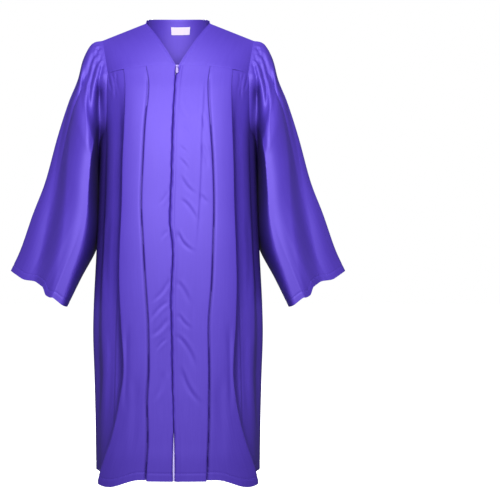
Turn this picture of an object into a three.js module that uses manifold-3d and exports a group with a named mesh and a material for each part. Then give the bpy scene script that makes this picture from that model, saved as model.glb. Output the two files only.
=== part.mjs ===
// Graduation gown with a zip front, filled out as it is worn, with nobody in it.
// Millimetres, +Z up. The front faces -Y and the wearer's left is +X. The origin lies midway
// between the two points where the shoulder seams meet the neck.
// Heights are written as drops: the distance below the origin.

import * as THREE from "three";
import ManifoldModule from "manifold-3d";

// Driving dimensions
const CLOTH = 1.4;
const SEAM_GAP = 0.3;
const HEM_DROP = 1278;
const UNDERARM_DROP = 330;
const YOKE_DROP_CENTRE = 132;
const YOKE_DROP_ARMHOLE = 149;
const YOKE_SEAM_REACH = 214;
const YOKE_SEAM_POWER = 2.4;
const BACK_YOKE_DROP = 165;
const NECK_HALF = 91;
const NECK_RISE = 4;
const BACK_NECK_RISE = 31;
const BACK_NECK_DEPTH = 74;
const SHOULDER_HALF = 217;
const SHOULDER_DROP = 46;
const ARMHOLE_FRONT = 65;
const ARMHOLE_BACK = 54;
const SEAM_Y = 10;
const UNDERLAP = 26;

// Squareness of the body's rounded section: 2 is an ellipse.
const FRONT_POWER = 2.6;
const BACK_POWER = 2.3;

// How the yokes bend over the shoulders: shares of the way from the top edge to the lower seam
const FRONT_YOKE_BEND = { x: 0.45, y: 0.62, z: 0.36 };
const BACK_YOKE_BEND = { x: 0.45, y: 0.75, z: 0.2 };
const BACK_NECK_BEND = { x: 0.5, y: 0.6, z: 0.35 };
const BACK_NECK_SHARE = 0.45;

// How the sleeves set into the armholes, as shares of the way to the cuff unless a length
const SLEEVE_POINT = 0.8;
const SLEEVE_SET = 3;
const SLEEVE_TOP_SET = 0.5;
const SLEEVE_TOP_POWER = 3;
const SEAT_END = 0.3;
const SEAT_END_SIDEWAYS = 0.1;
const EVEN_STEPS_FROM = 0.3;
const GATHER_FULL = 0.06;
const GATHER_END = 0.3;

// Front fold of the sleeve, which opens below the armhole, hangs forward and is undercut beside the
// body: shares where it opens, the angles of its two sides from the outer edge round the front at the
// armhole and the cuff and half widths of its slopes, in degrees, and the share cut under
const FOLD_OPEN_START = 0.02;
const FOLD_OPEN_END = 0.18;
const FOLD_OUTER = [12, 133];
const FOLD_OUTER_REACH = 24;
const FOLD_INNER = [150, 182];
const FOLD_INNER_REACH = 10;
const FOLD_EDGE = 12;
const UNDERCUT = 0.05;
const UNDERCUT_PLACE = 160;
const UNDERCUT_REACH = 18;

// Long folds beside the outer pleats: drop over which they open, where they begin to close, how much
// of them is left at the hem, and how far from the seam they end
const SIDE_FOLD_OPEN = 110;
const SIDE_FOLD_CLOSE = 980;
const SIDE_FOLD_HEM = 0.3;
const SIDE_FOLD_SEAM = 45;

// Hem lobes, where the outer pleats flare out
const LOBE_DROP = 26;
const LOBE_ARC = 188;
const LOBE_WIDTH = 45;

// Zip
const TAPE = 1.0;
const TAPE_WIDTH = 12;
const SLIDER_DROP = 138.5;
const SLIDER_WIDTH = 7;
const SLIDER_FOOT_WIDTH = 5.4;
const SLIDER_LENGTH = 9;
const SLIDER_PROUD = 1.2;
const BAIL_WIDTH = 2.2;
const BAIL_INNER = 1.9;
const BAIL_OUTER = 3.1;
const BAIL_BITE = 0.5;
const PULL_HINGE_CLEAR = 1.4;
const HINGE_OUT = SLIDER_PROUD + PULL_HINGE_CLEAR;
const PULL_HINGE_RISE = 1.5;
const PULL_THICK = 1.4;
const PULL_LENGTH = 20.5;
const PULL_WIDTH = 7.8;
const PULL_NECK_WIDTH = 5.6;
const PULL_BAR = 0.75;
const PULL_EYE_WIDTH = 3.4;
const PULL_EYE_END = 4.7;

// Neck label
const LABEL = 0.8;

// Steps along the pieces
const ARMHOLE_TURNS = [0, 6, 18, 36, 54, 72, 90];
const ARMHOLE_STEPS = ARMHOLE_TURNS.length - 1;
const YOKE_ROWS = 6;
const YOKE_COLUMNS = 8;
const BACK_YOKE_COLUMNS = 36;
const BACK_COLUMNS = 26;
const PLACKET_STEPS = 4;
const SIDE_FRONT_STEPS = 4;
const SIDE_STEPS = 8;
const GATHER_STEPS = 3;
const ARC_SAMPLES = 48;
const CURVE_STEPS = 6;
const FOLD_TURN = [90, 30, -30, -90];
const LABEL_ROWS = [0.71, 1, 1.48];
const LABEL_COLUMNS = [17, 18, 19, 20];

const BODY_DROPS = [330, 420, 520, 620, 720, 820, 910, 990, 1060, 1115, 1165, 1210, 1250, HEM_DROP];
const BACK_DROPS = [330, 440, 560, 690, 820, 940, 1050, 1150, 1225, HEM_DROP];
const SLEEVE_STOPS = [0, 0.02, 0.05, 0.09, 0.14, 0.2, 0.28, 0.36, 0.45, 0.54, 0.63, 0.72, 0.8, 0.87, 0.94, 1];

function table(names, rows) {
  return rows.map((row) => Object.fromEntries(names.map((name, i) => [name, row[i]])));
}

// Body section at each drop: half width at the side seams, depth in front of and behind the origin
const BODY = table(["at", "half", "front", "back"], [
  [0, 214, 60, 80],
  [132, 219, 92, 103],
  [200, 220, 108, 110],
  [330, 223, 121, 117],
  [520, 229, 128, 120],
  [640, 234.5, 132, 122],
  [865, 244.5, 137, 130],
  [1020, 240.5, 140, 138],
  [1150, 237.5, 138, 145],
  [1290, 235.5, 134, 152],
]);

// Knife pleats: distance of each fold edge from the centre, and the space from layer to layer
const PLEAT_COLUMNS = [
  "at", "innerLeft", "innerRight", "outerLeft", "outerRight", "innerPitch", "outerPitch",
];
const PLEATS = table(PLEAT_COLUMNS, [
  [132, 89, 88, 153, 152, 1.9, 1.9],
  [190, 81, 79, 148, 146, 2.4, 2.4],
  [300, 86, 88, 149, 148, 3.0, 3.0],
  [400, 92, 93, 152, 152, 3.3, 3.3],
  [520, 95, 97, 154, 154, 3.6, 3.6],
  [640, 92, 91, 158, 159, 4.0, 4.0],
  [740, 88, 85, 160, 160, 4.3, 4.3],
  [850, 80, 78, 157, 155, 4.6, 4.6],
  [980, 81, 76, 150, 148, 5.2, 5.0],
  [1060, 80, 80, 156, 157, 5.8, 6.5],
  [1120, 79, 78, 166, 167, 6.2, 8.5],
  [1176, 77, 77, 179, 179, 6.6, 10.5],
  [1216, 75, 79, 190, 190, 7.0, 12.0],
  [1255, 74, 81, 200, 200, 7.0, 13.0],
  [1290, 73, 82, 206, 206, 7.0, 14.0],
]);

// Long folds beyond the outer pleat: distance from its fold edge, and rise off the body
const SIDE_FOLDS = table(["at", "rise"], [
  [0, 0],
  [9, -12],
  [24, -25],
  [44, -28],
  [70, -25],
  [100, -18],
]);

// Zip line: sideways wander, and the gap between the two folded edges of cloth
const ZIP = table(["at", "x", "gap"], [
  [132, -2, 8.4],
  [151, -4, 5.6],
  [190, -8, 1.0],
  [290, -14, 1.0],
  [443, -18, 1.0],
  [575, -22, 1.0],
  [645, -14, 1.0],
  [781, -19, 1.0],
  [868, -17, 1.0],
  [1000, -15, 1.0],
  [1130, -11, 1.0],
  [1180, -11, 4.5],
  [1220, -11, 6.5],
  [1290, -11, 6.5],
]);

// Soft flutes of the back: place along the half girth, reach to each side, and rise at the hem
const BACK_FLUTES = table(["place", "reach", "rise"], [
  [-190, 46, 17],
  [-112, 44, 20],
  [-34, 42, 16],
  [44, 46, 21],
  [124, 44, 18],
  [196, 44, 16],
]);

// Sleeve sections from the armhole to the cuff: the outer and the under edge, how far back the
// under edge leans, the depth in front and behind, and how far forward the front fold hangs
const SLEEVE = table(["at", "outX", "outDrop", "inX", "inDrop", "lean", "front", "back", "fold"], [
  [0, 217, 46, 223, 330, 10, 86, 80, 86],
  [0.06, 248, 56, 226.9, 345, 24, 86, 86, 88],
  [0.12, 272, 98, 224.5, 372, 38, 80, 92, 90],
  [0.2, 288, 158, 224.5, 408, 46, 70, 96, 92],
  [0.3, 314, 222, 224, 452, 54, 68, 98, 94],
  [0.45, 347, 325, 224, 520, 60, 68, 100, 96],
  [0.6, 381, 450, 226, 590, 64, 70, 104, 98],
  [0.75, 418, 547, 242, 655, 58, 70, 108, 101],
  [0.88, 452, 645, 276, 725, 40, 68, 112, 104],
  [1, 481, 708, 313, 808, 20, 66, 116, 107],
]);

// Long folds of the sleeve: angle from the outer edge round the front at the armhole and at the cuff,
// half width in degrees, rise and lift of the hem at the cuff, and where the fold begins
const SLEEVE_FOLDS = table(["from", "to", "reach", "rise", "lift", "start"], [
  [12, 72, 30, 5, 8, 0.3],
  [-12, 116, 26, -4, 14, 0.3],
  [95, 158, 20, 2, -5, 0.3],
  [214, 220, 26, 18, 0, 0.35],
  [252, 256, 24, -16, 14, 0.3],
  [292, 296, 26, 16, 4, 0.3],
  [330, 330, 22, -10, 0, 0.4],
]);

// Height of each gather at the sleeve head, from the shoulder seam down to the yoke corner
const GATHER_RISES = [3.4, 4.6, 3.8, 5.0, 4.2, 3.6];

// Colours
const GOWN = new THREE.MeshStandardMaterial({ color: "#5b41c4", roughness: 0.62, metalness: 0 });
const TAPE_COLOUR = new THREE.MeshStandardMaterial({ color: "#8f7ce6", roughness: 0.7, metalness: 0 });
const PULL_COLOUR = new THREE.MeshStandardMaterial({ color: "#b9a6f5", roughness: 0.4, metalness: 0.1 });
const LABEL_COLOUR = new THREE.MeshStandardMaterial({ color: "#f4f2f6", roughness: 0.6, metalness: 0 });

const clamp = (value) => Math.min(Math.max(value, 0), 1);
const ease = (value) => clamp(value) ** 2 * (3 - 2 * clamp(value));
const mix = (from, to, share) => from + (to - from) * share;
const steps = (count) => Array.from({ length: count + 1 }, (_, i) => i / count);
const bump = (distance) => (Math.abs(distance) < 1 ? Math.cos((distance * Math.PI) / 2) ** 2 : 0);
const radians = THREE.MathUtils.degToRad;
const vector = (x, y, z) => new THREE.Vector3(x, y, z);

// Smooth value of one column of a table at a place along it.
function along(rows, name, at) {
  const last = rows.length - 1;
  let i = 0;
  while (i < last - 1 && at > rows[i + 1].at) i += 1;
  const slope = (k) => {
    const before = rows[Math.max(k - 1, 0)];
    const after = rows[Math.min(k + 1, last)];
    return (after[name] - before[name]) / (after.at - before.at);
  };
  const span = rows[i + 1].at - rows[i].at;
  const t = clamp((at - rows[i].at) / span);
  const bend = t * t * (3 - 2 * t);
  const leave = t * (1 - t) ** 2 * span * slope(i);
  const arrive = t * t * (t - 1) * span * slope(i + 1);
  return mix(rows[i][name], rows[i + 1][name], bend) + leave + arrive;
}

// Quarter of the body's section as points with their outward normals and arc lengths, from the
// middle of the front or the back to the side seam.
function quarter(drop, facing) {
  const half = along(BODY, "half", drop);
  const depth = facing < 0 ? along(BODY, "front", drop) + SEAM_Y : along(BODY, "back", drop) - SEAM_Y;
  const power = 2 / (facing < 0 ? FRONT_POWER : BACK_POWER);
  const points = steps(ARC_SAMPLES).map((share) => {
    const turn = (share * Math.PI) / 2;
    return { x: half * Math.sin(turn) ** power, y: SEAM_Y + facing * depth * Math.cos(turn) ** power };
  });
  points[ARC_SAMPLES].y = SEAM_Y;
  points.forEach((point, i) => {
    const before = points[Math.max(i - 1, 0)];
    const after = points[Math.min(i + 1, ARC_SAMPLES)];
    const length = Math.hypot(after.x - before.x, after.y - before.y);
    const step = i === 0 ? 0 : Math.hypot(point.x - before.x, point.y - before.y);
    point.nx = (facing * (before.y - after.y)) / length;
    point.ny = (facing * (after.x - before.x)) / length;
    point.arc = i === 0 ? 0 : before.arc + step;
  });
  Object.assign(points[0], { nx: 0, ny: facing });
  Object.assign(points[ARC_SAMPLES], { nx: 1, ny: 0 });
  return points;
}

// Arc length from the middle out to a given distance sideways.
function arcAt(points, x) {
  const i = points.findIndex((point) => point.x >= x);
  const share = (x - points[i - 1].x) / (points[i].x - points[i - 1].x);
  return mix(points[i - 1].arc, points[i].arc, share);
}

// Point of the body at an arc length from the middle, moved out along the normal.
function bodyPoint(points, arc, out, drop) {
  const reach = Math.abs(arc);
  const sign = Math.sign(arc) || 1;
  let i = 1;
  while (i < ARC_SAMPLES && points[i].arc < reach) i += 1;
  const share = (reach - points[i - 1].arc) / (points[i].arc - points[i - 1].arc);
  const value = (name) => mix(points[i - 1][name], points[i][name], share);
  return vector(sign * (value("x") + out * value("nx")), value("y") + out * value("ny"), -drop);
}

// Arc length of the armhole edge or, below the underarm, of the side seam.
function edgeArc(points, drop, top, recess) {
  const fall = clamp((drop - top) / (UNDERARM_DROP - top));
  const armhole = drop < UNDERARM_DROP ? recess * Math.sqrt(1 - fall * fall) : 0;
  return points[ARC_SAMPLES].arc - SEAM_GAP / 2 - armhole;
}

// Drop of the yoke seam at an arc length from the middle: nearly level, then falling to the armhole.
function yokeDrop(arc) {
  return mix(YOKE_DROP_CENTRE, YOKE_DROP_ARMHOLE, Math.abs(arc / YOKE_SEAM_REACH) ** YOKE_SEAM_POWER);
}

// Knife pleat seen from above: out to the fold edge, back under it, and out again two layers lower.
function pleat(edge, level, pitch) {
  const round = pitch / 2;
  const turns = FOLD_TURN.map(radians);
  const fold = turns.map((a) => [
    edge - round + round * Math.cos(a),
    level - round + round * Math.sin(a),
  ]);
  const under = turns.map((a) => [
    edge - UNDERLAP + round - round * Math.cos(a),
    level - pitch - round + round * Math.sin(a),
  ]);
  return [...fold, ...under];
}

// Even steps from one section point to another, without the two ends.
function between(from, to, count) {
  const inner = steps(count).slice(1, -1);
  return inner.map((share) => [mix(from[0], to[0], share), mix(from[1], to[1], share)]);
}

const pleatLevel = (drop) => 2 * (along(PLEATS, "innerPitch", drop) + along(PLEATS, "outerPitch", drop));

// Section points from the outer pleat to the armhole or the side seam, with the long folds that open
// below the yoke.
function sideFolds(from, end, edge, seam, drop) {
  const open = ease((drop - YOKE_DROP_ARMHOLE) / SIDE_FOLD_OPEN);
  const closed = ease((drop - SIDE_FOLD_CLOSE) / (HEM_DROP - SIDE_FOLD_CLOSE));
  const full = open * mix(1, SIDE_FOLD_HEM, closed);
  const section = [...between(from, end, SIDE_STEPS), end];
  return section.map(([arc, out]) => {
    const rise = along(SIDE_FOLDS, "rise", arc - edge) * ease((seam - arc) / SIDE_FOLD_SEAM);
    return [arc, out + full * rise];
  });
}

// Section of one front panel from the zip edge to the side, as arc lengths and heights off the body.
function frontSection(side, drop) {
  const points = quarter(drop, -1);
  const name = side > 0 ? "Left" : "Right";
  const innerPitch = along(PLEATS, "innerPitch", drop);
  const outerPitch = along(PLEATS, "outerPitch", drop);
  const inner = pleat(arcAt(points, along(PLEATS, "inner" + name, drop)), pleatLevel(drop), innerPitch);
  const outerEdge = arcAt(points, along(PLEATS, "outer" + name, drop));
  const outer = pleat(outerEdge, 2 * outerPitch, outerPitch);
  const start = [side * along(ZIP, "x", drop) + along(ZIP, "gap", drop) / 2, pleatLevel(drop)];
  const end = [edgeArc(points, drop, YOKE_DROP_ARMHOLE, ARMHOLE_FRONT), 0];
  return [
    start,
    ...between(start, inner[0], PLACKET_STEPS),
    ...inner,
    ...between(inner.at(-1), outer[0], SIDE_FRONT_STEPS),
    ...outer,
    ...sideFolds(outer.at(-1), end, outerEdge, points[ARC_SAMPLES].arc - SEAM_GAP / 2, drop),
  ];
}

function frontPoint(side, arc, out, drop) {
  const point = bodyPoint(quarter(drop, -1), arc, out, drop);
  point.x *= side;
  return point;
}

// Shares of the way down a panel: an even arc round the armhole, then the drops of the body.
function panelShares(top, drops) {
  const share = (drop) => (drop - top) / (HEM_DROP - top);
  const armhole = ARMHOLE_TURNS.map((turn) => Math.sin(radians(turn)) * share(UNDERARM_DROP));
  return [...armhole, ...drops.slice(1).map(share)];
}

function frontGrid(side) {
  const topSection = frontSection(side, YOKE_DROP_ARMHOLE);
  const hemSection = frontSection(side, HEM_DROP);
  return panelShares(YOKE_DROP_ARMHOLE, BODY_DROPS).map((share) =>
    topSection.map((topPoint, column) => {
      const lobe = LOBE_DROP * bump((hemSection[column][0] - LOBE_ARC) / (2 * LOBE_WIDTH));
      const drop = mix(yokeDrop(topPoint[0]), HEM_DROP + lobe, share);
      const [arc, out] = frontSection(side, drop)[column];
      return frontPoint(side, arc, out, drop);
    }),
  );
}

// Height of the back's flutes, which open from the yoke down to the hem.
function fluteRise(arc, drop) {
  const open = ease((drop - BACK_YOKE_DROP) / (HEM_DROP - BACK_YOKE_DROP));
  const rises = BACK_FLUTES.map((flute) => flute.rise * bump((arc - flute.place) / flute.reach));
  return open * rises.reduce((sum, rise) => sum + rise, 0);
}

function backGrid() {
  return panelShares(BACK_YOKE_DROP, BACK_DROPS).map((share) => {
    const drop = mix(BACK_YOKE_DROP, HEM_DROP, share);
    const points = quarter(drop, 1);
    const end = edgeArc(points, drop, BACK_YOKE_DROP, ARMHOLE_BACK);
    return steps(BACK_COLUMNS).map((across) => {
      const arc = mix(-end, end, across);
      return bodyPoint(points, arc, fluteRise(arc, drop), drop);
    });
  });
}

// Curve from a top point to a bottom point, bending at a point set by shares of the way. A raised top
// edge bends from its unraised height, so that it stands up and then falls in with the cloth below.
function bent(top, bottom, shares, t, rise = 0) {
  const bend = vector(
    mix(top.x, bottom.x, shares.x),
    mix(top.y, bottom.y, shares.y),
    mix(top.z - rise, bottom.z, shares.z),
  );
  const upper = top.clone().lerp(bend, t);
  return upper.lerp(bend.lerp(bottom, t), t);
}

// Shoulder seam, from the neck point out to the armhole.
function shoulderPoint(side, share, y) {
  const x = mix(NECK_HALF, SHOULDER_HALF, share);
  return vector(side * x, y, mix(NECK_RISE, -SHOULDER_DROP, share));
}

function frontYokeGrid(side) {
  const section = frontSection(side, YOKE_DROP_ARMHOLE);
  const start = side * along(ZIP, "x", YOKE_DROP_CENTRE) + along(ZIP, "gap", YOKE_DROP_CENTRE) / 2;
  return steps(YOKE_ROWS).map((down) =>
    steps(YOKE_COLUMNS).map((across) => {
      const arc = mix(start, section.at(-1)[0], across);
      const out = pleatLevel(YOKE_DROP_CENTRE) * (1 - across);
      const bottom = frontPoint(side, arc, out, yokeDrop(arc) - SEAM_GAP);
      return bent(shoulderPoint(side, across, -SEAM_GAP / 2), bottom, FRONT_YOKE_BEND, down);
    }),
  );
}

// Point of the back yoke: across from -1 to 1, down from 0 at the neck and shoulders to 1.
function backYokePoint(across, down) {
  const side = Math.sign(across) || 1;
  const reach = Math.abs(across);
  const neck = clamp(1 - reach / BACK_NECK_SHARE);
  const turn = (neck * Math.PI) / 2;
  const shoulder = clamp((reach - BACK_NECK_SHARE) / (1 - BACK_NECK_SHARE));
  const top = shoulderPoint(side, shoulder, SEAM_GAP / 2);
  const rise = (BACK_NECK_RISE - NECK_RISE) * Math.sqrt(Math.sin(turn));
  if (neck > 0) {
    top.x = side * NECK_HALF * Math.cos(turn);
    top.y += BACK_NECK_DEPTH * Math.sin(turn);
    top.z += rise;
  }
  const points = quarter(BACK_YOKE_DROP, 1);
  const end = edgeArc(points, BACK_YOKE_DROP, BACK_YOKE_DROP, ARMHOLE_BACK);
  const bottom = bodyPoint(points, across * end, 0, BACK_YOKE_DROP - SEAM_GAP);
  const shares = {};
  for (const axis of ["x", "y", "z"]) {
    shares[axis] = mix(BACK_YOKE_BEND[axis], BACK_NECK_BEND[axis], ease(neck));
  }
  return bent(top, bottom, shares, down, rise);
}

function backYokeGrid() {
  return steps(YOKE_ROWS).map((down) =>
    steps(BACK_YOKE_COLUMNS).map((across) => backYokePoint(mix(-1, 1, across), down)),
  );
}

// Armhole edge from the shoulder seam down the front, under the arm and up the back, with each yoke
// step parted again for the gathers.
function armholeLoop(yokeEdge, frontEdge, backEdge, backYokeEdge) {
  const corners = [
    ...yokeEdge,
    ...frontEdge.slice(1, ARMHOLE_STEPS + 1),
    ...backEdge.slice(1, ARMHOLE_STEPS).reverse(),
    ...backYokeEdge.toReversed(),
  ];
  const loop = [];
  const frontGathers = yokeEdge.length - 1;
  const backGathers = corners.length - backYokeEdge.length;
  for (let i = 0; i < corners.length - 1; i += 1) {
    const gather = i < frontGathers ? i : corners.length - 2 - i;
    const gathered = i < frontGathers || i >= backGathers;
    const parts = gathered ? GATHER_STEPS : 1;
    for (let part = 0; part < parts; part += 1) {
      const wave = Math.cos((2 * Math.PI * (part + 0.5)) / GATHER_STEPS);
      const point = corners[i].clone().lerp(corners[i + 1], part / parts);
      loop.push({ point, rise: gathered ? GATHER_RISES[gather] * wave : 0 });
    }
  }
  return loop;
}

// Plain point of the sleeve: share of the way down, and angle from the outer edge round the front.
// Its section is round at the outer edge and comes to a soft point at the under edge.
function sleeveBase(side, share, angle) {
  const value = (name) => along(SLEEVE, name, share);
  const rounded = (1 - Math.cos(angle)) / 2;
  const pointed = 1 - Math.abs(Math.cos(angle / 2));
  const degrees = THREE.MathUtils.radToDeg(angle);
  const open = ease((share - FOLD_OPEN_START) / (FOLD_OPEN_END - FOLD_OPEN_START));
  const cut = UNDERCUT * open * bump((degrees - UNDERCUT_PLACE) / UNDERCUT_REACH);
  const under = mix(rounded, pointed, SLEEVE_POINT) - cut;
  const pastOuter = degrees - mix(...FOLD_OUTER, share);
  const beforeInner = mix(...FOLD_INNER, share) - degrees;
  const outerSlope = ease(pastOuter / (2 * FOLD_OUTER_REACH) + 0.5);
  const innerSlope = ease(beforeInner / (2 * FOLD_INNER_REACH) + 0.5);
  const folded = open * outerSlope * innerSlope * ease(degrees / FOLD_EDGE);
  const depth = Math.sin(angle) > 0 ? value("front") : value("back");
  return vector(
    side * mix(value("outX"), value("inX"), under),
    mix(value("lean") * under - depth * Math.sin(angle), -value("fold"), folded),
    -mix(value("outDrop"), value("inDrop"), under),
  );
}

// Rise and lift of the sleeve's long folds at a point.
function sleeveFold(share, angle) {
  const degrees = THREE.MathUtils.radToDeg(angle);
  const total = { rise: 0, lift: 0 };
  for (const fold of SLEEVE_FOLDS) {
    const place = mix(fold.from, fold.to, share);
    const grown = ease((share - fold.start) / (1 - fold.start)) * bump((degrees - place) / fold.reach);
    total.rise += fold.rise * grown;
    total.lift += fold.lift * grown;
  }
  return total;
}

function sleeveGrid(side, loop) {
  const lengths = loop.map((entry, i) => entry.point.distanceTo(loop[(i + 1) % loop.length].point));
  const lowest = loop.reduce((low, entry, i) => (entry.point.z < loop[low].point.z ? i : low), 0);
  const sum = (from, to) => lengths.slice(from, to).reduce((total, length) => total + length, 0);
  const headAngles = loop.map((_, i) => {
    if (i <= lowest) return (Math.PI * sum(0, i)) / sum(0, lowest);
    return Math.PI + (Math.PI * sum(lowest, i)) / sum(lowest, loop.length);
  });
  return SLEEVE_STOPS.map((share) =>
    loop.map((entry, i) => {
      const even = (2 * Math.PI * i) / loop.length;
      const angle = mix(headAngles[i], even, ease(share / EVEN_STEPS_FROM));
      const head = sleeveBase(side, 0, headAngles[i]);
      const seat = entry.point.clone().sub(head);
      const top = Math.abs(Math.cos(headAngles[i] / 2)) ** SLEEVE_TOP_POWER;
      seat.x += side * mix(SLEEVE_SET, SLEEVE_TOP_SET, top);
      seat.x *= 1 - ease(share / SEAT_END_SIDEWAYS);
      const point = sleeveBase(side, share, angle);
      point.addScaledVector(seat, 1 - ease(share / SEAT_END));
      const fallen = ease((share - GATHER_FULL) / (GATHER_END - GATHER_FULL));
      const gathered = ease(share / GATHER_FULL) * (1 - fallen);
      const fold = sleeveFold(share, angle);
      const outer = sleeveBase(side, share, 0);
      const under = sleeveBase(side, share, Math.PI);
      const middle = outer.lerp(under, 0.5);
      const outward = point.clone().sub(middle).normalize();
      point.addScaledVector(outward, fold.rise + entry.rise * gathered);
      point.z += fold.lift;
      return point;
    }),
  );
}

// Normal at each point of a grid, from its neighbours along the rows and columns.
function gridNormals(grid, ring) {
  const rows = grid.length;
  const columns = grid[0].length;
  return grid.map((row, i) =>
    row.map((_, j) => {
      const up = grid[Math.max(i - 1, 0)][j];
      const down = grid[Math.min(i + 1, rows - 1)][j];
      const before = ring ? row[(j + columns - 1) % columns] : row[Math.max(j - 1, 0)];
      const after = ring ? row[(j + 1) % columns] : row[Math.min(j + 1, columns - 1)];
      return down.clone().sub(up).cross(after.clone().sub(before)).normalize();
    }),
  );
}

// Closed wall round a grid of points, half its thickness to each side. A ring's rows close on
// themselves. Square edges turn the wall's end faces so that they meet their neighbour's.
function wall(grid, thickness, { ring = false, square = () => {} } = {}) {
  const rows = grid.length;
  const columns = grid[0].length;
  const normals = gridNormals(grid, ring);
  normals.forEach((row, i) => row.forEach((normal, j) => square(normal, i, j)));
  const faces = [1, -1].map((sign) =>
    grid.flatMap((row, i) =>
      row.map((point, j) => point.clone().addScaledVector(normals[i][j], (sign * thickness) / 2)),
    ),
  );
  const offset = rows * columns;
  const index = [];
  const quad = (a, b, c, d) => index.push(a, b, c, a, c, d);
  const at = (i, j) => i * columns + (j % columns);
  const lastColumn = ring ? columns : columns - 1;
  for (let i = 0; i < rows - 1; i += 1) {
    for (let j = 0; j < lastColumn; j += 1) {
      quad(at(i, j), at(i + 1, j), at(i + 1, j + 1), at(i, j + 1));
      quad(offset + at(i, j), offset + at(i, j + 1), offset + at(i + 1, j + 1), offset + at(i + 1, j));
    }
  }
  for (let j = 0; j < lastColumn; j += 1) {
    quad(at(0, j), at(0, j + 1), offset + at(0, j + 1), offset + at(0, j));
    quad(at(rows - 1, j + 1), at(rows - 1, j), offset + at(rows - 1, j), offset + at(rows - 1, j + 1));
  }
  if (!ring) {
    for (let i = 0; i < rows - 1; i += 1) {
      const end = columns - 1;
      quad(at(i + 1, 0), at(i, 0), offset + at(i, 0), offset + at(i + 1, 0));
      quad(at(i, end), at(i + 1, end), offset + at(i + 1, end), offset + at(i, end));
    }
  }
  return closedGeometry(faces.flat(), index);
}

// Level the end face of a panel's top edge, and square its end faces along the side seams.
function squarePanel(seamColumns) {
  return (normal, row, column) => {
    if (row === 0) normal.setZ(0).normalize();
    if (row >= ARMHOLE_STEPS && seamColumns.includes(column)) normal.setY(0).normalize();
  };
}

// Level a yoke's lower end face, and stand its end face at the shoulder seam upright.
function squareYoke(normal, row) {
  if (row === YOKE_ROWS) normal.setZ(0).normalize();
  if (row === 0) normal.setY(0).normalize();
}

// The back yoke's neck edge, between its shoulder seams, keeps its own slope.
function squareBackYoke(normal, row, column) {
  const across = Math.abs((2 * column) / BACK_YOKE_COLUMNS - 1);
  if (row > 0 || across >= BACK_NECK_SHARE) squareYoke(normal, row);
}

// Geometry with its faces turned outward.
function closedGeometry(points, index) {
  let volume = 0;
  for (let i = 0; i < index.length; i += 3) {
    const [a, b, c] = [points[index[i]], points[index[i + 1]], points[index[i + 2]]];
    volume += a.dot(b.clone().cross(c));
  }
  const ordered = volume < 0 ? index.toReversed() : index;
  const geometry = new THREE.BufferGeometry().setFromPoints(points);
  geometry.setIndex(ordered);
  geometry.computeVertexNormals();
  return geometry;
}

// Zip tape: a strip behind the folded edge of a front panel, from the coil outwards.
function tapeGrid(side) {
  const depth = CLOTH / 2 + SEAM_GAP + TAPE / 2;
  return panelShares(YOKE_DROP_ARMHOLE, BODY_DROPS).map((share) => {
    const drop = mix(YOKE_DROP_CENTRE, HEM_DROP, share);
    const middle = side * along(ZIP, "x", drop);
    return [SEAM_GAP / 2, TAPE_WIDTH / 2, TAPE_WIDTH].map((across) =>
      frontPoint(side, middle + across, pleatLevel(drop) - depth, drop),
    );
  });
}

// Label: a patch of the back yoke's own points, moved in from the cloth.
function labelGrid(yoke) {
  const depth = CLOTH / 2 + SEAM_GAP + LABEL / 2;
  const normals = gridNormals(yoke, false);
  const inward = normals[1][LABEL_COLUMNS[0]].y > 0 ? -1 : 1;
  return LABEL_ROWS.map((row) => {
    const above = Math.floor(row);
    return LABEL_COLUMNS.map((column) => {
      const point = yoke[above][column].clone().lerp(yoke[above + 1][column], row - above);
      const normal = normals[above][column].clone().lerp(normals[above + 1][column], row - above);
      return point.addScaledVector(normal.normalize(), inward * depth);
    });
  });
}

const wasm = await ManifoldModule();
wasm.setup();

// Closed solid for joining, from a geometry's points and triangles.
function solid(geometry) {
  const merged = new Map();
  const vertices = [];
  const position = geometry.getAttribute("position");
  const order = geometry.index ? geometry.index.array : Array(position.count).keys();
  const triangles = Array.from(order, (i) => {
    const point = [position.getX(i), position.getY(i), position.getZ(i)];
    const key = point.map((value) => value.toFixed(4)).join();
    if (!merged.has(key)) {
      merged.set(key, vertices.length / 3);
      vertices.push(...point);
    }
    return merged.get(key);
  });
  const mesh = new wasm.Mesh({
    numProp: 3,
    vertProperties: new Float32Array(vertices),
    triVerts: new Uint32Array(triangles),
  });
  return new wasm.Manifold(mesh);
}

function joined(first, second) {
  const mesh = solid(first).add(solid(second)).getMesh();
  const geometry = new THREE.BufferGeometry();
  geometry.setAttribute("position", new THREE.BufferAttribute(new Float32Array(mesh.vertProperties), 3));
  geometry.setIndex(Array.from(mesh.triVerts));
  geometry.computeVertexNormals();
  return geometry;
}

// Outline in the plane of the cloth, given thickness outwards from a depth behind its face.
function plate(shape, back, front) {
  const settings = { depth: front - back, bevelEnabled: false, curveSegments: CURVE_STEPS };
  const geometry = new THREE.ExtrudeGeometry(shape, settings);
  geometry.translate(0, 0, back);
  geometry.rotateX(Math.PI / 2);
  return geometry;
}

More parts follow.
